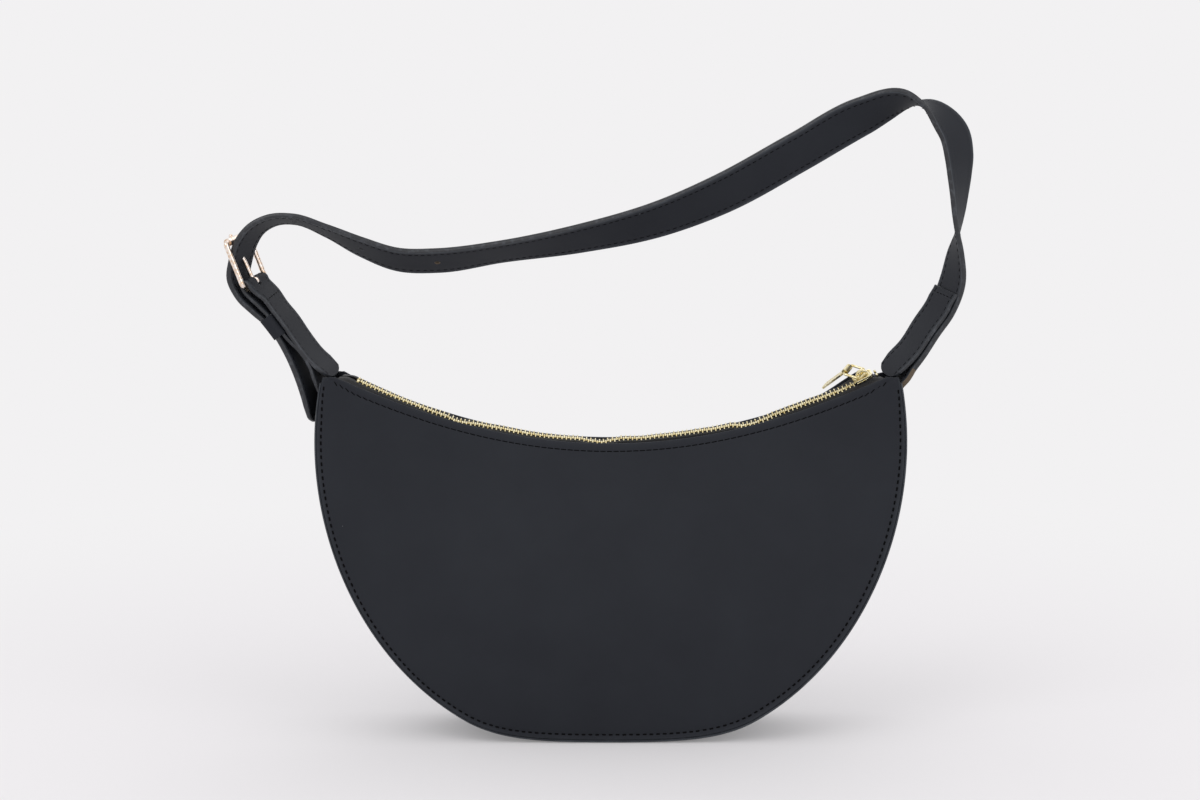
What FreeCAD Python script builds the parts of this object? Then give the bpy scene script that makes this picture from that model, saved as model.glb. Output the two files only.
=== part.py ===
"""Half moon shoulder bag with a curved zip and a buckled strap.

Millimetres. X runs along the zip to the right, Y from front to back, Z up.
The origin is on the floor under the middle of the bag.
"""

import FreeCAD, Part
import math
import os
from FreeCAD import Placement, Rotation, Vector

SIZES = {
    "half_width": 159.5,
    "oval_half_height": 172.0,
    "floor_cut": 10.0,
    "base_half_depth": 29.0,
    "belly_half_depth": 33.0,
    "flank_half_depth": 22.0,
    "mouth_half_depth": 10.2,
    "corner_half_depth": 22.0,
    "corner_height": 194.5,
    "panel_rise": 3.0,
    "leather": 1.4,
    "lining": 0.8,
    "seam": 5.0,
    "glue_gap": 0.2,
    "lining_gap": 0.5,
    "zip_radius": 300.0,
    "zip_mid_height": 161.3,
    "zip_tilt": 15.0,
    "mouth_rise": 1.0,
    "lining_drop": 1.2,
    "tape_thick": 0.7,
    "tape_edge": 1.7,
    "tape_inset": 10.3,
    "tooth_pitch": 2.4,
    "tooth_thick": 1.0,
    "tooth_reach": 0.9,
    "tooth_back": 3.2,
    "tooth_height": 2.4,
    "tooth_clearance": 0.05,
    "stop_length": 1.8,
    "chain_left_inset": 18.9,
    "slider_inset": 19.1,
    "slider_length": 11.0,
    "slider_lip": 0.6,
    "slider_rim": 0.2,
    "slider_chamfer": 1.2,
    "slider_plate": 1.1,
    "slider_clearance": 0.3,
    "post_length": 2.4,
    "post_width": 2.4,
    "post_place": 3.2,
    "bridge_span": 7.0,
    "bridge_bar": 1.2,
    "bridge_width": 2.0,
    "bridge_window": 2.6,
    "link_length": 8.6,
    "link_width": 8.4,
    "link_bar": 1.4,
    "link_corner": 1.3,
    "link_yaw": 135.0,
    "link_lift": 24.0,
    "pull_length": 23.0,
    "pull_width": 6.2,
    "pull_thick": 1.2,
    "pull_lean": 66.0,
    "pull_eye_clearance": 0.15,
    "pull_eye_gap": 0.2,
    "pull_shoulder": 4.0,
    "pull_chamfer": 1.2,
    "strap_width": 24.0,
    "strap_thick": 2.6,
    "ply_thick": 1.7,
    "buckle_side_gap": 0.7,
    "buckle_length": 24.8,
    "buckle_bar": 2.8,
    "buckle_corner": 1.8,
    "buckle_lean": 110.6,
    "buckle_turn": 18.0,
    "roller_outer": 4.4,
    "roller_end_gap": 1.0,
    "running_clearance": 0.06,
    "prong_bar": 2.2,
    "prong_hub_wall": 1.2,
    "prong_hub_width": 3.0,
    "prong_slot_clearance": 0.4,
    "prong_slot_length": 14.0,
    "prong_slot_ahead": 3.8,
    "prong_overhang": 2.6,
    "prong_rest_gap": 0.2,
    "prong_bow": 0.65,
    "hole_radius": 1.6,
    "keeper_length": 12.0,
    "keeper_wall": 1.1,
    "keeper_clearance": 0.9,
}

REACH = 60.0
KEEPER_ALONG = Vector(0.6, 0, -0.8)
KEEPER_IN = Vector(0.8, 0, 0.6)

# Strap routes, by hand: x, rise above the corners and how far the back edge turns inward, in degrees.
# The strap runs from its free tip through the buckle and over to the right corner.
ROUTE_CORNER_HALF = 156.627
ROUTE_LOOP_HALF = 150.0
HEEL_STATION = (-192.6, 53.4)
KEEPER_STATION = (-182.4, 32.7)
STRAP_ROUTE = [
    (-162.4, -22.5, 6),
    (-164.0, -12.5, 8),
    (-168.4, 2.5, 12),
    (-174.6, 17.5, 16),
    (-182.4, 30.1, 18),
    (-191.6, 39.9, 18),
    (-199.6, 47.3, 18),
    (-202.2, 56.0, 18),
    (-199.8, 65.5, 18),
    (-196.3, 75.0, 18),
    (-191.0, 82.0, 15),
    (-182.0, 86.7, 13),
    (-170.0, 87.1, 13),
    (-153.0, 80.9, 17),
    (-134.0, 72.1, 26),
    (-115.0, 65.5, 31),
    (-93.5, 64.9, 32),
    (-59.7, 69.6, 28),
    (-16.6, 76.8, 38),
    (26.5, 87.5, 51),
    (60.0, 101.0, 60),
    (101.0, 123.5, 61),
    (134.0, 142.0, 56),
    (156.0, 150.0, 30),
    (172.0, 146.0, -12),
    (182.5, 131.5, -32),
    (186.5, 110.5, -18),
    (187.6, 90.5, -6),
    (187.0, 71.5, 9),
    (184.5, 53.5, 19),
    (179.5, 39.5, 19),
    (172.0, 28.0, 18),
    (163.5, 15.0, 14),
    (158.6, 9.1, 9),
    (154.8, 2.5, 3),
    (153.8, -4.0, 0),
]
FREE_STATIONS = 14
HOLE_STATIONS = (12, 14, 16)
CHAPE_INNER_ROUTE = [
    (-149.6, 2.9, 3),
    (-151.8, 6.3, 5),
    (-156.8, 11.7, 9),
    (-163.4, 18.9, 13),
    (-174.2, 33.3, 17),
    (-182.6, 43.7, 18),
]
CHAPE_OUTER_ROUTE = [
    (-153.4, -4.0, 0),
    (-154.6, 2.5, 3),
    (-158.8, 8.7, 9),
    (-165.4, 16.1, 13),
    (-178.2, 30.5, 17),
    (-187.4, 41.7, 18),
]
TAB_ROUTE = [
    (180.4, 49.4, 19),
    (177.0, 40.6, 19),
    (169.7, 29.6, 18),
    (161.4, 16.7, 14),
    (156.4, 10.9, 9),
    (151.8, 6.3, 5),
    (149.6, 2.9, 3),
]

doc = FreeCAD.newDocument("half_moon_bag")


def size(name):
    """Return a driving size."""
    return SIZES[name]


def half(name):
    """Return half of a driving size."""
    return SIZES[name] / 2


def make_sheet():
    """Write every driving size to the sheet that the objects are bound to."""
    sheet = doc.addObject("Spreadsheet::Sheet", "sizes")
    for row, (name, value) in enumerate(SIZES.items(), start=1):
        sheet.set(f"A{row}", name)
        sheet.set(f"B{row}", str(value))
        sheet.setAlias(f"B{row}", name)
    doc.recompute()


def bound(kind, name, **formulas):
    """Add an object with its properties bound to formulas of the sheet's cells."""
    item = doc.addObject(kind, name)
    for prop, formula in formulas.items():
        item.setExpression(prop, formula)
    return item


def boolean(kind, name, base, tool):
    """Add a Part::Cut or Part::Common of two objects."""
    item = doc.addObject(kind, name)
    if kind == "Part::Cut":
        item.Base, item.Tool = base, tool
    else:
        item.Shapes = [base, tool]
    return item


def cut(name, base, tool):
    """Take a tool away from a base."""
    return boolean("Part::Cut", name, base, tool)


def common(name, base, tool):
    """Keep what two objects share."""
    return boolean("Part::MultiCommon", name, base, tool)


def fuse(name, pieces):
    """Join pieces that touch into one solid."""
    item = doc.addObject("Part::MultiFuse", name)
    item.Shapes = pieces
    item.Refine = True
    return item


def extrude(name, base, direction, formula, symmetric=False):
    """Extrude a face or closed wire along a direction."""
    item = bound("Part::Extrusion", name, LengthFwd=formula)
    item.Base = base
    item.DirMode = "Custom"
    item.Dir = direction
    item.Symmetric = symmetric
    item.Solid = True
    return item


def facing(x_axis, y_axis):
    """Return the rotation that has these local X and Y directions."""
    return Rotation(x_axis, y_axis, x_axis.cross(y_axis), "XYZ")


def centred_box(name, at, frame, **formulas):
    """Add a box by its middle, in a local frame given as a placement."""
    item = bound("Part::Box", name, **formulas)
    doc.recompute()
    corner = at - Vector(item.Length.Value, item.Width.Value, item.Height.Value) / 2
    item.Placement = frame.multiply(Placement(corner, Rotation()))
    return item


def rod(name, start, end, frame, formula):
    """Add a round bar between two points of a local frame."""
    item = bound("Part::Cylinder", name, Radius=formula)
    item.Height = (end - start).Length
    turn = Rotation(Vector(0, 0, 1), end - start)
    item.Placement = frame.multiply(Placement(start, turn))
    return item


def ball(name, at, frame, formula):
    """Add a sphere at a point of a local frame."""
    item = bound("Part::Sphere", name, Radius=formula)
    item.Placement = frame.multiply(Placement(at, Rotation()))
    return item


def prism(name, points, frame, formula):
    """Pad a closed outline drawn in the local XY plane, half its length each way."""
    body = doc.addObject("PartDesign::Body", name)
    sketch = body.newObject("Sketcher::SketchObject", name + "_outline")
    plane = next(item for item in body.Origin.OriginFeatures if item.Role == "XY_Plane")
    sketch.AttachmentSupport = [(plane, "")]
    sketch.MapMode = "FlatFace"
    for start, end in zip(points, points[1:] + points[:1]):
        sketch.addGeometry(Part.LineSegment(Vector(*start, 0), Vector(*end, 0)), False)
    pad = body.newObject("PartDesign::Pad", name + "_pad")
    pad.Profile = sketch
    pad.setExpression("Length", formula)
    pad.Midplane = True
    body.Placement = frame
    return body


OVAL_CENTRE = Vector(0, 0, size("oval_half_height") - size("floor_cut"))
corner_share = (size("corner_height") - OVAL_CENTRE.z) / size("oval_half_height")
CORNER_HALF = size("half_width") * math.sqrt(1 - corner_share**2)


def station(x, rise):
    """Return a strap station, which moves with the body's corners."""
    share = max(-1.0, min(1.0, x / ROUTE_LOOP_HALF))
    return Vector(x + share * (CORNER_HALF - ROUTE_CORNER_HALF), 0, size("corner_height") + rise)


def route_frames(route):
    """Return a local frame at each station of a route: X through the strap, Y along its width, Z ahead."""
    frames = []
    points = [station(x, rise) for x, rise, turn in route]
    for index, (point, (x, rise, turn)) in enumerate(zip(points, route)):
        before = points[max(index - 1, 0)]
        after = points[min(index + 1, len(route) - 1)]
        ahead = (after - before).normalize()
        inner = Vector(ahead.z, 0, -ahead.x)
        angle = math.radians(turn)
        across = Vector(0, 1, 0) * math.cos(angle) + inner * math.sin(angle)
        frames.append(Placement(point, facing(across.cross(ahead), across)))
    return frames


def ribbon(name, frames, formula):
    """Loft a flat strap through the frames of a route."""
    sections = []
    for index, frame in enumerate(frames):
        plane = bound("Part::Plane", f"{name}_at_{index}", Length=formula, Width="sizes.strap_width")
        doc.recompute()
        corner = Vector(-plane.Length.Value / 2, -half("strap_width"), 0)
        plane.Placement = frame.multiply(Placement(corner, Rotation()))
        sections.append(plane)
    loft = doc.addObject("Part::Loft", name)
    loft.Sections = sections
    loft.Solid = True
    return loft


def level_box(name, formula):
    """Add a broad box whose underside is at the height that formula gives."""
    item = doc.addObject("Part::Box", name)
    item.Length, item.Width, item.Height = 8 * REACH, 4 * REACH, REACH
    item.Placement.Base = Vector(-4 * REACH, -2 * REACH, 0)
    item.setExpression("Placement.Base.z", formula)
    return item


def finish(item, label):
    """Give an object the label of the node it stands for."""
    item.Label = label
    nodes[label] = item


nodes = {}
make_sheet()


# Bag body.
def oval_block(name, inset):
    """Make an oval prism through the bag, its outline moved in and cut flat above the floor."""
    upright = size("oval_half_height") >= size("half_width")
    longer, shorter = ("oval_half_height", "half_width") if upright else ("half_width", "oval_half_height")
    oval = bound(
        "Part::Ellipse",
        name + "_oval",
        MajorRadius=f"sizes.{longer} - ({inset})",
        MinorRadius=f"sizes.{shorter} - ({inset})",
    )
    up, right = Vector(0, 0, 1), Vector(1, 0, 0)
    oval.Placement = Placement(OVAL_CENTRE, facing(up, right) if upright else facing(right, up))
    block = extrude(name + "_prism", oval, Vector(0, 1, 0), f"{2 * REACH}", symmetric=True)
    return cut(name, block, level_box(name + "_floor", f"{inset} - {REACH}"))


# How the crowned faces run between the driving depths, and past the outline.
MOUTH_ROW_DROP = 11.3
SHEET_OVER = 17.0
FLANK_DRAW = 1.0
QUARTER_DRAW = 1.5
QUARTER_SPREAD = 3.0
TOP_HALF_DEPTH = 0.5


def crown_sheet(name, side, inset):
    """Make a panel's crowned outer face, moved in from the outside by inset."""
    base, belly, flank = size("base_half_depth"), size("belly_half_depth"), size("flank_half_depth")
    mouth, corner = size("mouth_half_depth"), size("corner_half_depth")
    mouth_row = size("zip_mid_height") - MOUTH_ROW_DROP
    rows = [
        (-size("floor_cut"), (base - FLANK_DRAW, base, base)),
        (mouth_row / 2, (flank, belly - QUARTER_DRAW, belly)),
        (mouth_row, (corner, mouth + QUARTER_SPREAD, mouth)),
        (size("corner_height") + SHEET_OVER, (corner + FLANK_DRAW, QUARTER_SPREAD, TOP_HALF_DEPTH)),
    ]
    step = (size("half_width") + SHEET_OVER) / 2
    grid = []
    for height, depths in rows:
        columns = zip(range(-2, 3), depths + depths[1::-1])
        grid.append([Vector(step * column, side * depth, height) for column, depth in columns])
    surface = Part.BSplineSurface()
    surface.interpolate(grid)
    sheet = doc.addObject("Part::Feature", name)
    sheet.Shape = surface.toShape()
    sheet.Placement.Base = Vector(0, -side * inset, 0)
    return sheet


def slab(name, side, inset, formula):
    """Make a crowned layer of the thickness that formula gives, inset from a panel's outer face."""
    return extrude(name, crown_sheet(name + "_face", side, inset), Vector(0, -side, 0), formula)


def core(name, inset):
    """Make the space between the two crowned faces, each moved in by inset."""
    front = slab(name + "_front", -1, inset, f"{2 * REACH}")
    back = slab(name + "_back", 1, inset, f"{2 * REACH}")
    return common(name, front, back)


ZIP_AXIS = Vector(0, 0, size("zip_mid_height") + size("zip_radius"))


def mouth_cone(name, radius):
    """Make the cone about the zip's axis that opens the mouth."""
    slope = f"{REACH} * tan(sizes.zip_tilt)"
    cone = bound("Part::Cone", name, Radius1=f"{radius} + {slope}", Radius2=f"{radius} - {slope}")
    cone.Height = 2 * REACH
    cone.Placement = Placement(ZIP_AXIS - Vector(0, REACH, 0), Rotation(Vector(1, 0, 0), -90))
    return cone


def opened(name, base, radius="sizes.zip_radius - sizes.mouth_rise"):
    """Cut the mouth out of a solid."""
    return cut(name, base, mouth_cone(name + "_mouth", radius))


LINING_MOUTH = "sizes.zip_radius + sizes.lining_drop"
PANEL_IN = size("leather") + size("glue_gap")
LINING_IN = PANEL_IN + size("lining") + size("glue_gap")
STRIP_IN = size("seam") + size("leather")

for label, side in (("front_panel", -1), ("back_panel", 1)):
    outline = opened(label + "_outline", oval_block(label + "_block", 0))
    above = level_box(label + "_above", "sizes.corner_height + sizes.panel_rise")
    skin = slab(label + "_skin", side, 0, "sizes.leather")
    finish(common(label, cut(label + "_level", outline, above), skin), label)

above_corners = level_box("above_corners", "sizes.corner_height")
for label, side in (("lining_front", -1), ("lining_back", 1)):
    block = oval_block(label + "_block", STRIP_IN + size("lining_gap"))
    outline = cut(label + "_level", opened(label + "_outline", block, LINING_MOUTH), above_corners)
    finish(common(label, outline, slab(label + "_skin", side, PANEL_IN, "sizes.lining")), label)

rim_block = cut("rim_level", opened("rim_outline", oval_block("rim_block", 0)), above_corners)
rim = cut("rim", rim_block, oval_block("rim_inside", STRIP_IN))
channel = cut("channel", oval_block("channel_block", -size("leather")), oval_block("channel_inside", size("seam")))
finish(
    cut(
        "gusset",
        common("rim_between", rim, core("rim_core", PANEL_IN)),
        common("channel_between", channel, core("channel_core", PANEL_IN + size("leather"))),
    ),
    "gusset",
)

lining_in = STRIP_IN + size("lining_gap")
lining_rim = cut(
    "lining_rim",
    opened("lining_rim_outline", oval_block("lining_rim_block", lining_in), LINING_MOUTH),
    oval_block("lining_rim_inside", lining_in + size("lining")),
)
lining_level = cut("lining_level", lining_rim, above_corners)
finish(common("lining_gusset", lining_level, core("lining_core", LINING_IN)), "lining_gusset")


# Zip.
def zip_frame(angle):
    """Return the chain's local frame at an angle from the middle: X to the right, Y back, Z out of the tape."""
    swing, tilt = math.radians(angle), math.radians(size("zip_tilt"))
    along = Vector(math.cos(swing), 0, math.sin(swing))
    outward = Vector(-math.sin(swing), 0, math.cos(swing))
    across = Vector(0, math.cos(tilt), 0) + outward * math.sin(tilt)
    at = ZIP_AXIS - outward * size("zip_radius")
    return Placement(at, facing(along, across))


def reach_angle(inset):
    """Return the angle at which the chain is as far in from the corners as a size says."""
    return math.degrees(math.asin((CORNER_HALF - size(inset)) / size("zip_radius")))


def arc_angle(length):
    """Return the angle that a length along the chain takes."""
    return math.degrees(length / size("zip_radius"))


for label, side in (("front_zip_tape", -1), ("back_zip_tape", 1)):
    strip = bound("Part::Plane", label + "_strip", Length="sizes.belly_half_depth", Width="sizes.tape_thick")
    across = zip_frame(0).Rotation.multVec(Vector(0, side, 0))
    up = zip_frame(0).Rotation.multVec(Vector(0, 0, 1))
    edge = zip_frame(0).multVec(Vector(0, side * size("tape_edge"), -half("tape_thick")))
    strip.Placement = Placement(edge, facing(across, up))
    tape_reach = f"({CORNER_HALF} - sizes.tape_inset)"
    band = bound("Part::Revolution", label + "_band", Angle=f"2 * asin({tape_reach} / sizes.zip_radius)")
    band.Source = strip
    band.Axis = Vector(0, 1, 0)
    band.Base = ZIP_AXIS
    band.Symmetric = True
    band.Solid = True
    finish(common(label, band, core(label + "_core", PANEL_IN)), label)

TOOTH_GRIP = half("tape_thick") + size("tooth_clearance")


def clamp_outline(side, reach):
    """Return a tooth's outline across the chain: a head with two legs that hold the tape's edge."""
    top, back = half("tooth_height"), -size("tooth_back")
    root = -(size("tape_edge") - size("tooth_clearance"))
    points = [(reach, -top), (reach, top), (back, top), (back, TOOTH_GRIP)]
    points += [(root, TOOTH_GRIP), (root, -TOOTH_GRIP), (back, -TOOTH_GRIP), (back, -top)]
    return [Vector(0, -side * across, height) for across, height in points]


def clamp(side, reach, thick, angle):
    """Return a tooth or stop as a solid at an angle along the chain."""
    outline = clamp_outline(side, reach)
    face = Part.Face(Part.makePolygon(outline + outline[:1]))
    face.translate(Vector(-thick / 2, 0, 0))
    solid = face.extrude(Vector(thick, 0, 0))
    solid.Placement = zip_frame(angle).multiply(solid.Placement)
    return solid


def clamp_row(label, clamps):
    """Add a row of separate clamps as one node."""
    row = doc.addObject("Part::Feature", label)
    row.Shape = Part.makeCompound(clamps)
    finish(row, label)


PITCH_ANGLE = arc_angle(size("tooth_pitch"))
SLIDER_ANGLE = reach_angle("slider_inset")
CHAIN_END = SLIDER_ANGLE + arc_angle(size("post_place") - half("post_length") - size("tooth_thick"))
CHAIN_START = -reach_angle("chain_left_inset")
TOOTH_COUNT = int((CHAIN_END - CHAIN_START) / PITCH_ANGLE)

for label, side in (("front_zip_teeth", -1), ("back_zip_teeth", 1)):
    first = CHAIN_END - (0.5 * PITCH_ANGLE if side > 0 else 0)
    angles = [first - PITCH_ANGLE * step for step in range(TOOTH_COUNT)]
    clamp_row(label, [clamp(side, size("tooth_reach"), size("tooth_thick"), angle) for angle in angles])

stop_angle = SLIDER_ANGLE + arc_angle(half("slider_length") + size("stop_length"))
stop_reach = -half("post_width")
clamp_row("zip_top_stops", [clamp(side, stop_reach, size("stop_length"), stop_angle) for side in (-1, 1)])

end_angle = CHAIN_START - arc_angle(size("stop_length") + size("tooth_pitch"))
end_pair = [clamp(side, size("tooth_reach"), size("stop_length"), end_angle) for side in (-1, 1)]
bottom_stop = doc.addObject("Part::Feature", "zip_bottom_stop")
bottom_stop.Shape = end_pair[0].fuse(end_pair[1]).removeSplitter()
finish(bottom_stop, "zip_bottom_stop")

slider_frame = zip_frame(SLIDER_ANGLE)
PLATE_IN = half("tooth_height") + size("slider_clearance")
PLATE_TOP = PLATE_IN + size("slider_plate")
LIP_MIDDLE = size("tooth_back") + size("slider_clearance") + half("slider_lip")
SLIDER_HALF_WIDTH = LIP_MIDDLE + half("slider_lip") + size("slider_rim")


def slider_outline():
    """Return the plates' outline: broad shoulders at the right, a narrower tail at the left."""
    long, wide, chamfer = half("slider_length"), SLIDER_HALF_WIDTH, size("slider_chamfer")
    tail = wide - size("slider_rim")
    left = [(-long, tail - chamfer), (chamfer - long, tail), (0, tail)]
    upper = left + [(long - chamfer, wide), (long, wide - chamfer)]
    return upper + [(x, -y) for x, y in reversed(upper)]


def slider_box(name, at, length, width, height):
    """Add one block of the slider in its own frame."""
    return centred_box(name, at, slider_frame, Length=length, Width=width, Height=height)


slider_pieces = []
for name, side in (("slider_lower", -1), ("slider_upper", 1)):
    middle = Placement(Vector(0, 0, side * (PLATE_IN + half("slider_plate"))), Rotation())
    slider_pieces.append(prism(name, slider_outline(), slider_frame.multiply(middle), "sizes.slider_plate"))
    lip_height = PLATE_IN - TOOTH_GRIP - size("slider_clearance")
    lip_middle = side * (PLATE_IN - lip_height / 2)
    for edge in (-1, 1):
        lip = Vector(0, edge * LIP_MIDDLE, lip_middle)
        lip_length = "sizes.slider_length - 2 * sizes.slider_chamfer"
        slider_pieces.append(
            slider_box(f"{name}_lip_{edge + 1}", lip, lip_length, "sizes.slider_lip", f"{lip_height}")
        )
post = Vector(size("post_place"), 0, 0)
slider_pieces.append(
    slider_box("slider_post", post, "sizes.post_length", "sizes.post_width", f"{2 * PLATE_IN}")
)
BRIDGE_TOP = PLATE_TOP + size("bridge_window") + half("bridge_bar")
for name, side in (("bridge_left", -1), ("bridge_right", 1)):
    leg = Vector(side * (half("bridge_span") - half("bridge_bar")), 0, (PLATE_TOP + BRIDGE_TOP) / 2)
    slider_pieces.append(
        slider_box(name, leg, "sizes.bridge_bar", "sizes.bridge_width", f"{BRIDGE_TOP - PLATE_TOP}")
    )
slider_pieces.append(
    slider_box(
        "bridge_top",
        Vector(0, 0, BRIDGE_TOP),
        "sizes.bridge_span",
        "sizes.bridge_width",
        "sizes.bridge_bar",
    )
)
finish(fuse("zip_slider", slider_pieces), "zip_slider")


def round_ring(name, frame, reach, width, bar, corner):
    """Make a rectangular ring of round bar, its first bar on the local Y axis and the rest along local X."""
    radius = f"sizes.{bar} / 2"
    bend, side = size(corner), width / 2
    pieces = []
    corners = [(0, -side), (reach, -side), (reach, side), (0, side)]
    for index, (x, y) in enumerate(corners):
        next_x, next_y = corners[(index + 1) % 4]
        start, end = Vector(x, y, 0), Vector(next_x, next_y, 0)
        step = (end - start).normalize()
        pieces.append(rod(f"{name}_bar_{index}", start + step * bend, end - step * bend, frame, radius))
        turn = bound("Part::Torus", f"{name}_bend_{index}", Radius1=f"sizes.{corner}", Radius2=radius)
        turn.Angle3 = 90
        centre = Vector(math.copysign(bend, reach / 2 - x) + x, math.copysign(bend, -y) + y, 0)
        turn.Placement = frame.multiply(Placement(centre, Rotation(Vector(0, 0, 1), 180 + 90 * index)))
        pieces.append(turn)
    return fuse(name, pieces)


link_hinge = Vector(0, 0, PLATE_TOP + size("bridge_window") / 2)
link_turn = Rotation(Vector(0, 0, 1), size("link_yaw")).multiply(Rotation(Vector(0, 1, 0), -size("link_lift")))
link_frame = slider_frame.multiply(Placement(link_hinge, link_turn))
pull_link = round_ring(
    "pull_link", link_frame, size("link_length"), size("link_width"), "link_bar", "link_corner"
)
finish(pull_link, "pull_link")

pull_turn = Rotation(Vector(0, 0, 1), size("link_yaw")).multiply(
    Rotation(Vector(0, 1, 0), 90 - size("pull_lean"))
)
far_bar = Placement(link_hinge, link_turn).multVec(Vector(size("link_length"), 0, 0))
pull_frame = slider_frame.multiply(Placement(far_bar, pull_turn))
eye_inner = "sizes.link_bar / 2 + sizes.pull_eye_clearance"
long, wide, chamfer = size("pull_length"), half("pull_width"), size("pull_chamfer")
neck, shoulder = half("link_width") - size("link_corner") - size("pull_eye_gap"), size("pull_shoulder")
pull_outline = [(0, neck), (shoulder - chamfer, neck), (shoulder, wide)]
pull_outline += [(long - chamfer, wide), (long, wide - chamfer)]
pull_outline += [(x, -y) for x, y in reversed(pull_outline)]
pull_plate = prism("pull_plate", pull_outline, pull_frame, "sizes.pull_thick")
pull_eye = rod(
    "pull_eye", Vector(0, -neck, 0), Vector(0, neck, 0), pull_frame, f"{eye_inner} + sizes.pull_thick * 0.8"
)
eye_bore = rod("eye_bore", Vector(0, -wide, 0), Vector(0, wide, 0), pull_frame, eye_inner)
finish(cut("pull_tab", fuse("pull_blank", [pull_plate, pull_eye]), eye_bore), "pull_tab")


# Buckle. Its frame has X from the heel bar to the roller, Y along the bars and Z outward.
lean = math.radians(size("buckle_lean"))
turn = math.radians(size("buckle_turn"))
buckle_x = Vector(math.cos(lean), 0, math.sin(lean))
inward = Vector(math.sin(lean), 0, -math.cos(lean))
buckle_y = Vector(0, 1, 0) * math.cos(turn) + inward * math.sin(turn)
buckle_frame_place = Placement(station(*HEEL_STATION), facing(buckle_x, buckle_y))
BUCKLE_INSIDE = size("strap_width") + 2 * size("buckle_side_gap")
buckle_width = BUCKLE_INSIDE + size("buckle_bar")
buckle_ring = round_ring(
    "buckle_frame", buckle_frame_place, size("buckle_length"), buckle_width, "buckle_bar", "buckle_corner"
)
finish(buckle_ring, "buckle_frame")


def tube(name, x, length, inner, outer):
    """Add a tube on the buckle's bar at local x."""
    ends = Vector(x, -length / 2, 0), Vector(x, length / 2, 0)
    bore = rod(name + "_bore", ends[0] - Vector(0, 1, 0), ends[1] + Vector(0, 1, 0), buckle_frame_place, inner)
    return cut(name, rod(name + "_outside", *ends, buckle_frame_place, outer), bore)


RUNNING = "sizes.buckle_bar / 2 + sizes.running_clearance"
roller_length = BUCKLE_INSIDE - 2 * size("roller_end_gap")
roller = tube("buckle_roller", size("buckle_length"), roller_length, RUNNING, "sizes.roller_outer / 2")
finish(roller, "buckle_roller")

hub_outer = f"{RUNNING} + sizes.prong_hub_wall"
hub = tube("prong_hub", 0, size("prong_hub_width"), RUNNING, hub_outer)
prong_radius = "sizes.prong_bar / 2"
rest_height = half("roller_outer") + half("prong_bar") + size("prong_rest_gap")
prong_points = [
    Vector(half("buckle_bar") + size("prong_hub_wall"), 0, 0),
    Vector(size("buckle_length") / 2, 0, size("prong_bow")),
    Vector(size("buckle_length"), 0, rest_height),
    Vector(size("buckle_length") + size("prong_overhang"), 0, rest_height - size("prong_bow")),
]
prong_pieces = [hub]
for index, (start, end) in enumerate(zip(prong_points, prong_points[1:])):
    prong_pieces.append(rod(f"prong_bar_{index}", start, end, buckle_frame_place, prong_radius))
    prong_pieces.append(ball(f"prong_knee_{index}", end, buckle_frame_place, prong_radius))
finish(fuse("buckle_prong", prong_pieces), "buckle_prong")


# Straps.
FOLD_TURN = 100.0
fold_middle = half("buckle_bar") + size("running_clearance") + half("ply_thick")
fold = bound(
    "Part::Cylinder",
    "fold_outside",
    Radius=f"{RUNNING} + sizes.ply_thick",
    Height="sizes.strap_width",
)
fold.Angle = 2 * FOLD_TURN
fold_axis = Placement(Vector(0, -half("strap_width"), 0), Rotation(Vector(1, 0, 0), -90))
fold_start = Placement(Vector(0, 0, 0), Rotation(Vector(0, 0, 1), -FOLD_TURN))
fold.Placement = buckle_frame_place.multiply(fold_axis).multiply(fold_start)
fold_bore = rod(
    "fold_bore",
    Vector(0, -size("strap_width"), 0),
    Vector(0, size("strap_width"), 0),
    buckle_frame_place,
    RUNNING,
)


def fold_frame(side):
    """Return the frame where a ply meets the fold, on its inner (-1) or outer (1) side."""
    angle = math.radians(FOLD_TURN)
    at = Vector(fold_middle * math.cos(angle), 0, side * fold_middle * math.sin(angle))
    ahead = Vector(math.sin(angle), 0, -side * math.cos(angle))
    local = Placement(at, facing(Vector(0, 1, 0).cross(ahead), Vector(0, 1, 0)))
    return buckle_frame_place.multiply(local)


plies = []
for name, side, route in (("inner_ply", -1, CHAPE_INNER_ROUTE), ("outer_ply", 1, CHAPE_OUTER_ROUTE)):
    plies.append(ribbon(name, route_frames(route) + [fold_frame(side)], "sizes.ply_thick"))
chape_blank = fuse("chape_blank", [cut("fold", fold, fold_bore)] + plies)
slot = centred_box(
    "prong_slot",
    Vector(size("prong_slot_ahead"), 0, 0),
    buckle_frame_place,
    Length="sizes.prong_slot_length",
    Width="sizes.prong_hub_width + 2 * sizes.prong_slot_clearance",
    Height="sizes.prong_slot_length",
)
finish(cut("buckle_chape", chape_blank, slot), "buckle_chape")

finish(ribbon("right_strap_tab", route_frames(TAB_ROUTE), "sizes.ply_thick"), "right_strap_tab")

strap_frames = route_frames(STRAP_ROUTE)
strap_holes = []
reach = Vector(size("strap_thick"), 0, 0)
for index in HOLE_STATIONS:
    strap_holes.append(rod(f"strap_hole_{index}", -reach, reach, strap_frames[index], "sizes.hole_radius"))
way_radius = "sizes.prong_bar / 2 + sizes.prong_slot_clearance"
prong_ways = []
for index, (start, end) in enumerate(zip(prong_points, prong_points[1:])):
    prong_ways.append(rod(f"prong_way_{index}", start, end, buckle_frame_place, way_radius))
free_blank = ribbon("free_end_blank", strap_frames[:FREE_STATIONS], "sizes.strap_thick")
for tool in prong_ways + strap_holes[:1]:
    free_blank = cut("pierced_by_" + tool.Name, free_blank, tool)
finish(free_blank, "strap_free_end")
long_blank = ribbon("long_blank", strap_frames[FREE_STATIONS - 1 :], "sizes.strap_thick")
for tool in strap_holes[1:]:
    long_blank = cut("pierced_by_" + tool.Name, long_blank, tool)
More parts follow.
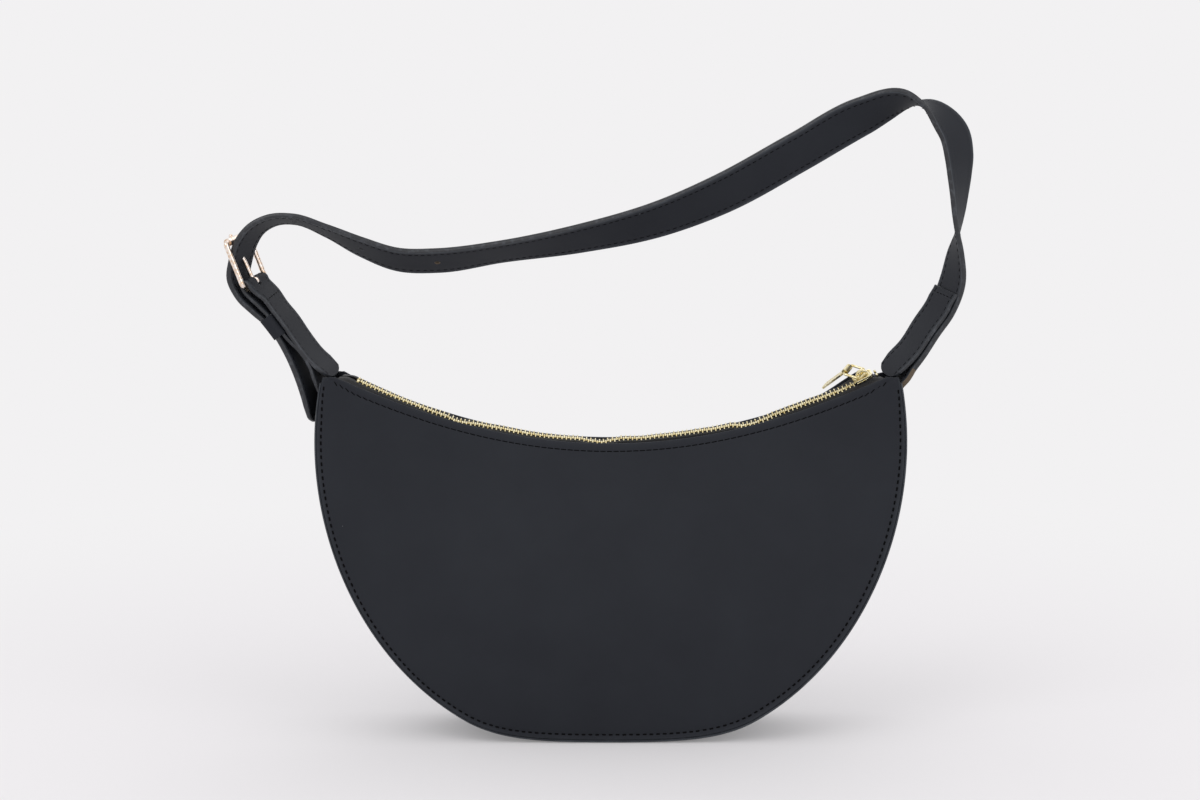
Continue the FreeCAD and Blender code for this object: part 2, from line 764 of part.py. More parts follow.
finish(long_blank, "shoulder_strap")

keeper_turn = math.radians(size("buckle_turn"))
keeper_across = Vector(0, 1, 0) * math.cos(keeper_turn) + KEEPER_IN * math.sin(keeper_turn)
keeper_frame = Placement(station(*KEEPER_STATION), facing(keeper_across.cross(KEEPER_ALONG), keeper_across))
opening = "sizes.strap_thick + sizes.ply_thick + 3 * sizes.keeper_clearance"
across = "sizes.strap_width + 2 * sizes.keeper_clearance"
keeper_blank = centred_box(
    "keeper_blank",
    Vector(0, 0, 0),
    keeper_frame,
    Length=f"{opening} + 2 * sizes.keeper_wall",
    Width=f"{across} + 2 * sizes.keeper_wall",
    Height="sizes.keeper_length",
)
keeper_hole = centred_box(
    "keeper_hole", Vector(0, 0, 0), keeper_frame, Length=opening, Width=across, Height="2 * sizes.keeper_length"
)
finish(cut("keeper_loop", keeper_blank, keeper_hole), "keeper_loop")


def write_parts():
    """Check every object and write one file for each node."""
    doc.recompute()
    for item in doc.Objects:
        if "Invalid" in item.State or "Error" in item.State:
            raise RuntimeError(f"{item.Name} is {item.State}")
    os.makedirs("parts", exist_ok=True)
    for label, item in nodes.items():
        shape = item.Shape
        if shape.isNull() or not shape.isValid():
            raise RuntimeError(f"{label} has no valid shape")
        shape.exportStep(f"parts/{label}.step")
        print(label, len(shape.Solids), round(shape.Volume))


write_parts()
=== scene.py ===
"""Half moon shoulder bag in black PU leather: the visual model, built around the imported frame.

Modelling is in millimetres on the frame's own axes: +X right along the zip, +Y to the back, +Z up.
Each finished mesh is scaled to metres when its object is made.
"""

import bisect
import logging
from dataclasses import dataclass, field
from enum import Enum
from functools import partial
from math import acos, asin, cos, exp, pi, radians, sin, sqrt, tan
from typing import Callable, Iterable, Optional

import bmesh
import bpy
from mathutils import Matrix, Vector
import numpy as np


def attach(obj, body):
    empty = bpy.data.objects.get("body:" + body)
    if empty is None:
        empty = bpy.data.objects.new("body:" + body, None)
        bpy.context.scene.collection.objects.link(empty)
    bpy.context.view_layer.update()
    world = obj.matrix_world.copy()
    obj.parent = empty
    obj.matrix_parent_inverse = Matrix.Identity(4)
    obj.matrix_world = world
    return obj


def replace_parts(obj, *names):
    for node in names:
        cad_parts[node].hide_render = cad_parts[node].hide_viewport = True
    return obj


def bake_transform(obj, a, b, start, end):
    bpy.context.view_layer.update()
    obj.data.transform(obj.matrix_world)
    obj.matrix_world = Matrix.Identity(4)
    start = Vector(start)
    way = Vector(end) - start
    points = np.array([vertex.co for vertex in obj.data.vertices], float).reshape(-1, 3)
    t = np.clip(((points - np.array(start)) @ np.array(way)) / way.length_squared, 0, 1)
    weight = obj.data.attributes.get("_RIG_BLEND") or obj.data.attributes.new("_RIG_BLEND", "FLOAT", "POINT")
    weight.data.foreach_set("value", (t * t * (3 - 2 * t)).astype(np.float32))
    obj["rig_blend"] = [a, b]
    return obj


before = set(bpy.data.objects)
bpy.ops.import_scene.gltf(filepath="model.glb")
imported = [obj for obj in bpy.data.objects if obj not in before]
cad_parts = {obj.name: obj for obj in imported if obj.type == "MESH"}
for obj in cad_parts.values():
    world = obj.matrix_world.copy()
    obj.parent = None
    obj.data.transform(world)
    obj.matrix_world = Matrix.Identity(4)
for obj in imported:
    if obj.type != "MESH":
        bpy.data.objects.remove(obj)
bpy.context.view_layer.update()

LOG = logging.getLogger("half_moon_bag")
MM = 0.001
BMesh = bmesh.types.BMesh
Material = bpy.types.Material
NodeTree = bpy.types.NodeTree
Place = Callable[[float, float], Vector]
Lay = Callable[[float, float], tuple[float, float]]

# The material slots of a sewn leather piece after that of its face.
EDGE = 1
THREAD = 2
CORE = 3
STITCH_LENGTH = 2.05
STITCH_PITCH = 3.55
STITCH_ROUNDING = 0.42
# How far a rounded edge stands out, as a share of its rounding.
EDGE_RISE = 0.8


class Body(Enum):
    """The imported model's bodies that whole pieces ride on."""

    BAG = "bag"
    SLIDER = "slider"
    TAB = "tab"
    KEEPER = "keeper"


class Slot(Enum):
    """The record's material slots, named when each modelled piece is made."""

    LEATHER = "leather"
    LINING = "lining"
    ZIP_TAPE = "zip_tape"
    ZIP_METAL = "zip_metal"


class Side(Enum):
    """Front or back of the bag, as the sign of Y."""

    FRONT = -1
    BACK = 1


class Tip(Enum):
    """How a strap ends."""

    SQUARE = "square"
    ROUND = "round"
    JOIN = "join"


def hex_to_linear(code: str) -> tuple[float, float, float, float]:
    """Turn an sRGB hex colour into linear values.

    Args:
        code: The colour as "#rrggbb".

    Returns:
        Linear red, green, blue and an alpha of 1.
    """
    parts = [int(code[i : i + 2], 16) / 255 for i in (1, 3, 5)]
    linear = [p / 12.92 if p <= 0.04045 else ((p + 0.055) / 1.055) ** 2.4 for p in parts]
    return (*linear, 1.0)


def add_node(tree: NodeTree, kind: str, inputs: Optional[dict] = None, **settings: object) -> bpy.types.Node:
    """Add a shader node with its settings, values and links.

    Args:
        tree: The node tree that gets the node.
        kind: The node's type, without the word that they all start with.
        inputs: Values by socket, or output sockets to link from.
        settings: Attributes of the node.

    Returns:
        The new node.
    """
    node = tree.nodes.new("ShaderNode" + kind)
    for name, value in settings.items():
        setattr(node, name, value)
    for name, value in (inputs or {}).items():
        if isinstance(value, bpy.types.NodeSocket):
            tree.links.new(value, node.inputs[name])
        else:
            node.inputs[name].default_value = value
    return node


def new_material(name: str) -> tuple[Material, NodeTree]:
    """Make an empty node material."""
    material = bpy.data.materials.new(name)
    material.use_nodes = True
    material.node_tree.nodes.clear()
    return material, material.node_tree


def per_metre(size_mm: float) -> float:
    """Return the texture scale that gives a pattern of this size on coordinates in metres."""
    return 1 / (size_mm * MM)


def band_scale(size: float) -> float:
    """Return the wave texture's scale for bands of this size: at scale 1 they repeat every tenth of pi."""
    return pi / (10 * size)


class Finish:
    """A material with one principled surface, and with layers of other colours over its own."""

    name: str
    colour: str

    def surface(self, tree: NodeTree) -> tuple[tuple, dict]:
        """Add the nodes that feed the surface.

        Args:
            tree: The material's node tree.

        Returns:
            The layers, each with its share and colour, and the surface's other inputs.
        """
        raise NotImplementedError

    def material(self) -> Material:
        """Build the material."""
        material, tree = new_material(self.name)
        layers, inputs = self.surface(tree)
        tone = hex_to_linear(self.colour)
        for share, code in layers:
            # A mix of colours takes its share at socket 0 and the colours at 6 and 7.
            mixed = {0: share, 6: tone, 7: hex_to_linear(code)}
            tone = add_node(tree, "Mix", mixed, data_type="RGBA").outputs[2]
        shader = add_node(tree, "BsdfPrincipled", {"Base Color": tone, **inputs})
        add_node(tree, "OutputMaterial", {"Surface": shader.outputs["BSDF"]})
        return material


@dataclass(frozen=True)
class LeatherFinish(Finish):
    """Polyurethane-coated leather cloth: a matte, faintly clouded black with a fine pressed grain.

    The eye gets an even soft sheen broken by the grain, slow clouds where the coating has been touched,
    a few specks of dust, and paler edges that are partly rubbed wear and partly a painted highlight.
    The true grain is about 0.3 mm, too fine for the render, so it is drawn three times as coarse.
    """

    name: str = "pu_leather_pressed_grain"
    colour: str = "#1d1f25"
    cloud: str = "#23262c"
    # The paler edge colour: partly rubbed wear, partly a painted highlight along rounded edges.
    rubbed: str = "#565b61"
    dust: str = "#8d8f92"
    roughness: float = 0.66
    polish: float = 0.06
    specular: float = 0.2
    grain_mm: float = 0.9
    grain_depth_mm: float = 0.035
    grain_strength: float = 0.35
    grain_blur: float = 0.4
    cloud_mm: float = 38.0
    cloud_roughness: float = 0.55
    patch_mm: float = 9.0
    dust_cell_mm: float = 8.0
    dust_radius: float = 0.045
    dust_chance: float = 0.93
    dust_strength: float = 0.3

    def surface(self, tree: NodeTree) -> tuple[tuple, dict]:
        """Add clouds, paler edges (partly wear, partly painted highlight), dust and grain."""
        place = add_node(tree, "TexCoord").outputs["Object"]
        cloudy = {"Scale": per_metre(self.cloud_mm), "Detail": 3.0, "Roughness": self.cloud_roughness}
        clouds = add_node(tree, "TexNoise", {"Vector": place, **cloudy}).outputs["Fac"]
        spots = {"Vector": place, "Scale": per_metre(self.patch_mm), "Detail": 2.0}
        patchy = add_node(tree, "TexNoise", spots).outputs["Fac"]
        # Paler edges: the edge mask mixes rubbed wear with a painted highlight where edges catch the light.
        wear_and_highlight = add_node(tree, "Attribute", attribute_name="wear_and_highlight").outputs["Fac"]
        worn = add_node(tree, "Math", {0: wear_and_highlight, 1: patchy}, operation="MULTIPLY").outputs[0]
        cells = {"Vector": place, "Scale": per_metre(self.dust_cell_mm), "Randomness": 1.0}
        dots = add_node(tree, "TexVoronoi", cells).outputs
        chance = add_node(tree, "SeparateColor", {"Color": dots["Color"]}).outputs[0]
        near = (dots["Distance"], self.dust_radius, "LESS_THAN")
        speck = self.dust_strength
        for value, limit, test in (near, (chance, self.dust_chance, "GREATER_THAN")):
            passed = add_node(tree, "Math", {0: value, 1: limit}, operation=test).outputs[0]
            speck = add_node(tree, "Math", {0: passed, 1: speck}, operation="MULTIPLY").outputs[0]
        pebbles = {"Vector": place, "Scale": per_metre(self.grain_mm), "Smoothness": self.grain_blur}
        grain = add_node(tree, "TexVoronoi", pebbles, feature="SMOOTH_F1").outputs["Distance"]
        relief = {"Strength": self.grain_strength, "Distance": self.grain_depth_mm * MM, "Height": grain}
        bump = add_node(tree, "Bump", relief).outputs["Normal"]
        ends = {"To Min": self.roughness + self.polish, "To Max": self.roughness - self.polish}
        rough = add_node(tree, "MapRange", {"Value": clouds, **ends}).outputs["Result"]
        layers = ((clouds, self.cloud), (worn, self.rubbed), (speck, self.dust))
        return layers, {"Roughness": rough, "Specular IOR Level": self.specular, "Normal": bump}


@dataclass(frozen=True)
class EdgeFinish(Finish):
    """Edge paint over cut leather: smoother and greyer, so that every cut edge catches a thin light."""

    name: str = "edge_paint_on_cut_leather"
    colour: str = "#1f2126"
    bare: str = "#3c3f45"
    bare_range: tuple = (0.5, 0.75)
    roughness: float = 0.36
    run_mm: float = 2.6
    run_depth_mm: float = 0.1
    run_strength: float = 0.4

    def surface(self, tree: NodeTree) -> tuple[tuple, dict]:
        """Add the paint's small runs."""
        place = add_node(tree, "TexCoord").outputs["Object"]
        spots = {"Vector": place, "Scale": per_metre(self.run_mm), "Detail": 2.0}
        runs = add_node(tree, "TexNoise", spots).outputs["Fac"]
        low, high = self.bare_range
        ends = {"From Min": low, "From Max": high}
        bare = add_node(tree, "MapRange", {"Value": runs, **ends}).outputs["Result"]
        relief = {"Strength": self.run_strength, "Distance": self.run_depth_mm * MM, "Height": runs}
        bump = add_node(tree, "Bump", relief).outputs["Normal"]
        return ((bare, self.bare),), {"Roughness": self.roughness, "Normal": bump}


@dataclass(frozen=True)
class ThreadFinish(Finish):
    """Bonded polyester sewing thread: darker than the leather, with a painted sheen along its twisted plies.
    """

    name: str = "bonded_polyester_thread"
    colour: str = "#020203"
    # Painted sheen on the crests of the twisted plies.
    lit: str = "#08080a"
    roughness: float = 0.9
    specular: float = 0.1
    twist_mm: float = 0.3

    def surface(self, tree: NodeTree) -> tuple[tuple, dict]:
        """Add the twist of the plies."""
        place = add_node(tree, "TexCoord").outputs["Object"]
        twist = {"Vector": place, "Scale": band_scale(self.twist_mm * MM), "Distortion": 0.5}
        plies = add_node(tree, "TexWave", twist, bands_direction="DIAGONAL").outputs["Fac"]
        return ((plies, self.lit),), {"Roughness": self.roughness, "Specular IOR Level": self.specular}


@dataclass(frozen=True)
class WovenFinish(Finish):
    """Woven polyester with a faint sheen, ribbed both ways on the piece's own UV map, in millimetres."""

    name: str
    colour: str
    light: str
    rib_mm: float
    roughness: float = 0.75
    specular: float = 0.3
    sheen: float = 0.15
    rib_depth_mm: float = 0.12
    rib_strength: float = 0.6

    def surface(self, tree: NodeTree) -> tuple[tuple, dict]:
        """Add the crossing ribs."""
        weave = add_node(tree, "UVMap", uv_map="UVMap").outputs["UV"]
        bands = {"Vector": weave, "Scale": band_scale(self.rib_mm), "Distortion": 0.3}
        ribs = [add_node(tree, "TexWave", bands, bands_direction=way).outputs["Fac"] for way in ("X", "Y")]
        yarn = add_node(tree, "Math", {0: ribs[0], 1: ribs[1]}, operation="MULTIPLY").outputs[0]
        relief = {"Strength": self.rib_strength, "Distance": self.rib_depth_mm * MM, "Height": yarn}
        bump = add_node(tree, "Bump", relief).outputs["Normal"]
        gloss = {"Roughness": self.roughness, "Specular IOR Level": self.specular, "Sheen Weight": self.sheen}
        return ((yarn, self.light),), {"Normal": bump, **gloss}


@dataclass(frozen=True)
class MetalFinish(Finish):
    """Plated zinc or brass: mirror-like, with a slow change of polish and darker painted reflections."""

    name: str
    colour: str
    # The darker colour, laid over patches of the noise, is a painted reflection of dark surroundings.
    painted_reflection: str
    roughness: float
    polish: tuple = (-0.05, 0.07)
    polish_and_reflection_mm: float = 1.6
    polish_and_reflection_roughness: float = 0.6
    painted_reflection_range: tuple = (0.42, 0.62)

    def surface(self, tree: NodeTree) -> tuple[tuple, dict]:
        """Add patches of polish and the darker painted reflections."""
        place = add_node(tree, "TexCoord").outputs["Object"]
        spots = {"Scale": per_metre(self.polish_and_reflection_mm), "Detail": 4.0, "Roughness": self.polish_and_reflection_roughness}
        polish_and_reflection = add_node(tree, "TexNoise", {"Vector": place, **spots}).outputs["Fac"]
        # Painted reflection: the noise's upper patches take the darker colour.
        low, high = self.painted_reflection_range
        ends = {"From Min": low, "From Max": high}
        painted_reflection_share = add_node(tree, "MapRange", {"Value": polish_and_reflection, **ends}).outputs["Result"]
        smooth, rubbed = (self.roughness + change for change in self.polish)
        limits = {"Value": polish_and_reflection, "To Min": smooth, "To Max": rubbed}
        rough = add_node(tree, "MapRange", limits).outputs["Result"]
        return ((painted_reflection_share, self.painted_reflection),), {"Metallic": 1.0, "Roughness": rough}


class Finishes:
    """Every material of the bag, made once."""

    def __init__(self) -> None:
        """Build the materials."""
        self.leather = LeatherFinish().material()
        self.edge = EdgeFinish().material()
        self.thread = ThreadFinish().material()
        self.core = WovenFinish("bonded_fibre_core", "#5a4f42", "#c4b69d", 1.3, 0.9).material()
        self.tape = WovenFinish("woven_polyester_zip_tape", "#08080a", "#1b1c20", 0.9).material()
        self.lining = WovenFinish("woven_polyester_lining", "#141416", "#2a2b2e", 0.7).material()
        # Each metal's second colour is a painted reflection of dark surroundings.
        self.zip_metal = MetalFinish("pale_gold_plated_brass", "#f2eac8", "#d3c084", 0.22).material()
        self.buckle_metal = MetalFinish("rose_gold_plated_zinc", "#f7ede6", "#d9bb9d", 0.15).material()

    def sewn(self) -> list[Material]:
        """Return the slots of a sewn leather piece: face, cut edge, thread, bare core."""
        return [self.leather, self.edge, self.thread, self.core]

    def turned(self) -> list[Material]:
        """Return the slots of a sewn piece whose edge is turned in, and so is leather too."""
        return [self.leather, self.leather, self.thread, self.core]


def smooth_step(low: float, high: float, value: float) -> float:
    """Ease from 0 to 1 between two values."""
    share = min(1.0, max(0.0, (value - low) / (high - low)))
    return share * share * (3 - 2 * share)


def bell(distance: float, width: float) -> float:
    """Return a soft bump of height 1 at no distance."""
    return exp(-((distance / width) ** 2))


def new_bmesh() -> BMesh:
    """Start a mesh with the layers that the finishes read."""
    bm = bmesh.new()
    bm.loops.layers.uv.new("UVMap")
    bm.verts.layers.float.new("wear_and_highlight")
    return bm


def flat(length: float, width: float) -> Lay:
    """Return how a piece of this size is laid out flat."""
    return lambda u, v: (u * length, v * width)


def curved_grid(
    columns: int, rows: int, place: Place, lay: Lay, wear_and_highlight: Optional[Callable[[float, float], float]] = None
) -> BMesh:
    """Make a grid and move each vertex to its place.

    Args:
        columns: Faces along u.
        rows: Faces along v.
        place: Gives a vertex its place from its shares u and v.
        lay: Gives its UV in millimetres.
        wear_and_highlight: Gives how worn it is, with its painted edge highlight, from 0 to 1.

    Returns:
        The new mesh.
    """
    bm = new_bmesh()
    uv, worn = bm.loops.layers.uv["UVMap"], bm.verts.layers.float["wear_and_highlight"]
    bmesh.ops.create_grid(bm, x_segments=columns, y_segments=rows, size=0.5)
    shares = {}
    for vert in bm.verts:
        shares[vert] = (min(1, max(0, vert.co.x + 0.5)), min(1, max(0, vert.co.y + 0.5)))
    for vert, share in shares.items():
        vert.co = place(*share)
        if wear_and_highlight:
            vert[worn] = wear_and_highlight(*share)
    for face in bm.faces:
        for loop in face.loops:
            loop[uv].uv = lay(*shares[loop.vert])
    return bm


def thicken(bm: BMesh, thickness: float, rounding: float, keep_square: Optional[Callable] = None) -> None:
    """Give a sheet its thickness behind its face, an edge material and rounded edges.

    Args:
        bm: The sheet.
        thickness: How far it goes behind its face.
        rounding: Radius of its edges.
        keep_square: Says of a point whether the edge there stays sharp.
    """
    faces = list(bm.faces)
    border = [edge for edge in bm.edges if edge.is_boundary]
    bm.normal_update()
    bmesh.ops.solidify(bm, geom=faces, thickness=thickness)
    sheet = set(faces)
    walls = {face for edge in border for face in edge.link_faces if face not in sheet}
    bmesh.ops.recalc_face_normals(bm, faces=bm.faces)
    for face in walls:
        face.material_index = EDGE
    rounded = [face for face in walls if not (keep_square and keep_square(face.calc_center_median()))]
    bmesh.ops.inset_region(bm, faces=rounded, thickness=rounding, depth=rounding * EDGE_RISE)


def set_in(bm: BMesh, template: bpy.types.Mesh, seats: Iterable[Matrix]) -> None:
    """Add a copy of a template mesh at each seat."""
    for seat in seats:
        before = len(bm.verts)
        bm.from_mesh(template)
        bm.verts.ensure_lookup_table()
        bmesh.ops.transform(bm, matrix=seat, verts=bm.verts[before:])


def axes_at(x: Vector, y: Vector, z: Vector, at: Vector) -> Matrix:
    """Return the matrix that moves the world's axes to these, at a point."""
    turned = Matrix((x, y, z)).transposed().to_4x4()
    turned.translation = at
    return turned


def seat(at: Vector, along: Vector, up: Vector) -> Matrix:
    """Return the matrix that puts a template at a point, its X along and its Z up."""
    x = along.normalized()
    y = up.cross(x).normalized()
    return axes_at(x, y, x.cross(y), at)


def climb(edge: bmesh.types.BMEdge) -> float:
    """Return the height between an edge's ends."""
    return abs(edge.verts[0].co.z - edge.verts[1].co.z)


def round_edges(bm: BMesh, edges: Iterable, radius: float, segments: int = 1, clamp: bool = False) -> None:
    """Round edges to a radius, which gives way to short neighbours where it is clamped."""
    bmesh.ops.bevel(
        bm, geom=list(edges), offset=radius, offset_type="OFFSET", segments=segments, profile=0.5,
        affect="EDGES", material=-1, clamp_overlap=clamp,
    )


def bevelled_block(size: Vector, rounding: float, material_index: int = 0) -> BMesh:
    """Make a block about the origin with all edges rounded."""
    bm = new_bmesh()
    bmesh.ops.create_cube(bm, size=1)
    bmesh.ops.scale(bm, vec=size, verts=bm.verts)
    round_edges(bm, bm.edges, rounding)
    for face in bm.faces:
        face.material_index = material_index
        face.smooth = True
    return bm


def as_mesh(bm: BMesh, name: str) -> bpy.types.Mesh:
    """Turn what is modelled, which is freed, into a mesh."""
    mesh = bpy.data.meshes.new(name)
    bm.to_mesh(mesh)
    bm.free()
    return mesh


def join(bm: BMesh, part: BMesh, at: Iterable[float] = (0, 0, 0)) -> None:
    """Add a part, which is freed, to a mesh at a place."""
    bmesh.ops.translate(part, vec=Vector(at), verts=part.verts)
    bm.from_mesh(as_mesh(part, "part"))


def put(name: str, data: bpy.types.ID) -> bpy.types.Object:
    """Put a new object into the scene."""
    made = bpy.data.objects.new(name, data)
    bpy.context.scene.collection.objects.link(made)
    return made


def make_piece(
    name: str, bm: BMesh, materials: list[Material], slot: Slot, sharp_angle: float = 48.0
) -> bpy.types.Object:
    """Turn a mesh in millimetres into a piece in metres.

    Args:
        name: The piece's name.
        bm: Its mesh, which is freed.
        materials: Its material slots.
        slot: The record's slot for its finish; not used.
        sharp_angle: Edges that turn more than this, in degrees, are shaded sharp.

    Returns:
        The new object, linked to the scene.
    """
    bmesh.ops.scale(bm, vec=Vector((MM, MM, MM)), verts=bm.verts)
    limit = radians(sharp_angle)
    for face in bm.faces:
        face.smooth = True
    for edge in bm.edges:
        edge.smooth = not (len(edge.link_faces) == 2 and edge.calc_face_angle() > limit)
    mesh = as_mesh(bm, name)
    for material in materials:
        mesh.materials.append(material)
    piece = put(name, mesh)
    LOG.info("%s: %d faces", name, len(mesh.polygons))
    return piece


def stitch_template(width: float, height: float, length: float = STITCH_LENGTH) -> bpy.types.Mesh:
    """Make one stitch: a short rounded bar of thread."""
    block = bevelled_block(Vector((length, width, height)), height * STITCH_ROUNDING, material_index=THREAD)
    return as_mesh(block, "stitch")


@dataclass
class BagForm:
    """The shape that the panels, gusset, lining and zip share, in millimetres."""

    half_width: float = 159.5
    oval_half_height: float = 172.0
    oval_centre: float = 162.0
    floor_ease: float = 13.0
    panel_top: float = 197.5
    gusset_top: float = 194.5
    zip_axis: float = 461.3
    zip_radius: float = 300.0
    mouth_rise: float = 1.0
    zip_tilt: float = 15.0
    rim_length: float = 480.0
    slider_reach: float = 137.527
    slider_length: float = 11.0
    post: tuple = (2.4, 2.4, 0.7)
    post_place: float = 3.2
    wave_reach: float = 9.0
    fit_rounds: int = 4
    quarter: float = 88.25
    depth_rows: tuple = (
        (5.0, 27.5, 31.3, 32.0),
        (45.0, 23.0, 33.75, 35.7),
        (75.0, 22.0, 31.5, 33.0),
        (150.0, 22.0, 13.2, 10.2),
        (211.5, 23.0, 3.0, 0.5),
    )
    chain_waves: tuple = (
        (-150, -0.4), (-138, -0.4), (-124, 0.0), (-108, 0.0), (-91, -0.4), (-84, -1.6), (-69, 0.0),
        (-60, 0.4), (-36, 0.1), (-18, 0.4), (-11, -0.6), (-5, -1.3), (1, 0.0), (7, 0.9), (16, 0.6),
        (27, 1.1), (48, 1.1), (57, 0.8), (65, 0.9), (73, -1.1), (78, -1.2), (82, -0.7), (90, 0.4),
        (98, 0.9), (107, 0.9), (116, 0.4), (126, 0.0), (150, 0.0),
    )
    # How far the panels' edges are inside the outline: at least, and by the share of the way round.
    least_inset: float = 1.7
    rim_insets: tuple = ((0, 1.7), (0.36, 1.7), (0.46, 2.2), (0.6, 2.2), (0.72, 1.9), (1, 1.7))
    # The chain's tilt towards the front, and how far the back seam runs below the zip's arc, both by x.
    chain_tilts: tuple = (
        (-150, 15), (-108, 15), (-94, 23), (-60, 18), (-20, 13), (20, 13), (60, 17), (90, 24),
        (118, 25), (131, 16), (150, 15),
    )
    back_drops: tuple = ((-150, 2.5), (-130, 2.3), (-90, 0.3), (110, 0.2), (137, -3.0), (150, -3.0))

    def outline(self, share: float, inset: float, top: float) -> tuple[float, float]:
        """Return a point of the outline from the left corner round the bottom to the right.

        Args:
            share: From 0 at the left corner to 1 at the right.
            inset: How far the outline is moved in.
            top: Height at which it ends.

        Returns:
            Its x and z.
        """
        tall = self.oval_half_height - inset
        end = acos(-(top - self.oval_centre) / tall)
        angle = (2 * share - 1) * end
        rise = self.oval_centre - tall * cos(angle) - inset
        ease = max(self.floor_ease - abs(rise), 0) ** 2 / (4 * self.floor_ease)
        return (self.half_width - inset) * sin(angle), inset + max(rise, 0) + ease

    def depth(self, x: float, z: float) -> float:
        """Return how far the panels' outer faces stand from the middle plane."""
        step = (x / self.quarter) ** 2
        total = 0.0
        for row in self.depth_rows:
            height, flank, quarter, middle = row
            # The even quartic through the middle, the quarter points and the flanks, twice as far out.
            fourth = ((flank - middle) - 4 * (quarter - middle)) / 12
            value = middle + ((quarter - middle) - fourth) * step + fourth * step * step
            for other in self.depth_rows:
                if other is not row:
                    value *= (z - other[0]) / (height - other[0])
            total += value
        return total

    def lean(self, x: float, z: float, side: Side) -> float:
        """Return a seam's distance from the zip's axis: the front follows the tape, the back hides."""
        if side is Side.FRONT:
            return self.zip_radius + self.depth(x, z) * tan(radians(self.zip_tilt))
        return self.zip_radius + self.along(self.back_drops, x)

    def edge_height(self, x: float, side: Side) -> float:
        """Return the height of a panel's mouth edge over x."""
        z = self.panel_top
        for _ in range(self.fit_rounds):
            lean = self.lean(x, z, side) - self.mouth_rise
            z = self.zip_axis - sqrt(lean * lean - x * x)
        return min(z, self.panel_top)

    def mouth(self, share: float, side: Side, drop: float, top: float) -> tuple[float, float]:
        """Return a point of a panel's mouth edge from left to right.

        Args:
            share: From 0 at the left to 1 at the right.
            side: Front or back.
            drop: How far below the zip's arc it runs.
            top: Height at which the edge levels off.

        Returns:
            Its x and z.
        """
        x, z = 0.0, top
        for _ in range(self.fit_rounds):
            lean = self.lean(x, z, side) + drop
            end = acos((self.zip_axis - top) / lean)
            angle = (2 * share - 1) * end
            x, z = lean * sin(angle), self.zip_axis - lean * cos(angle)
        return x, z

    def rim_inset(self, share: float) -> float:
        """Return how far a panel's edge is inside the outline at a share of the way round."""
        return self.along(self.rim_insets, share)

    @staticmethod
    def along(table: tuple, x: float) -> float:
        """Return a value that eases from place to place of a table of x and value."""
        index = min(max(bisect.bisect([place for place, _ in table], x), 1), len(table) - 1)
        (x0, a), (x1, b) = table[index - 1], table[index]
        return a + (b - a) * smooth_step(x0, x1, x)

    def zip_point(self, angle: float, across: float, height: float, tilt: Optional[float] = None) -> Vector:
        """Return a point by its angle along the zip, how far across the tape it is and its height over it.

        Args:
            angle: From the middle, in radians.
            across: Distance from the chain's middle line, to the back.
            height: Distance out of the tape.
            tilt: The tape's tilt in degrees, where it isn't the chain's own.

        Returns:
            The point.
        """
        own = self.along(self.chain_tilts, self.zip_radius * sin(angle))
        tilt = radians(own if tilt is None else tilt)
        outward = Vector((-sin(angle), 0, cos(angle)))
        sideways = Vector((0, cos(tilt), 0)) + outward * sin(tilt)
        up = Vector((cos(angle), 0, sin(angle))).cross(sideways)
        at = Vector((0, 0, self.zip_axis)) - outward * self.zip_radius + sideways * across + up * height
        at.z += self.along(self.chain_waves, at.x) * bell(across, self.wave_reach)
        return at


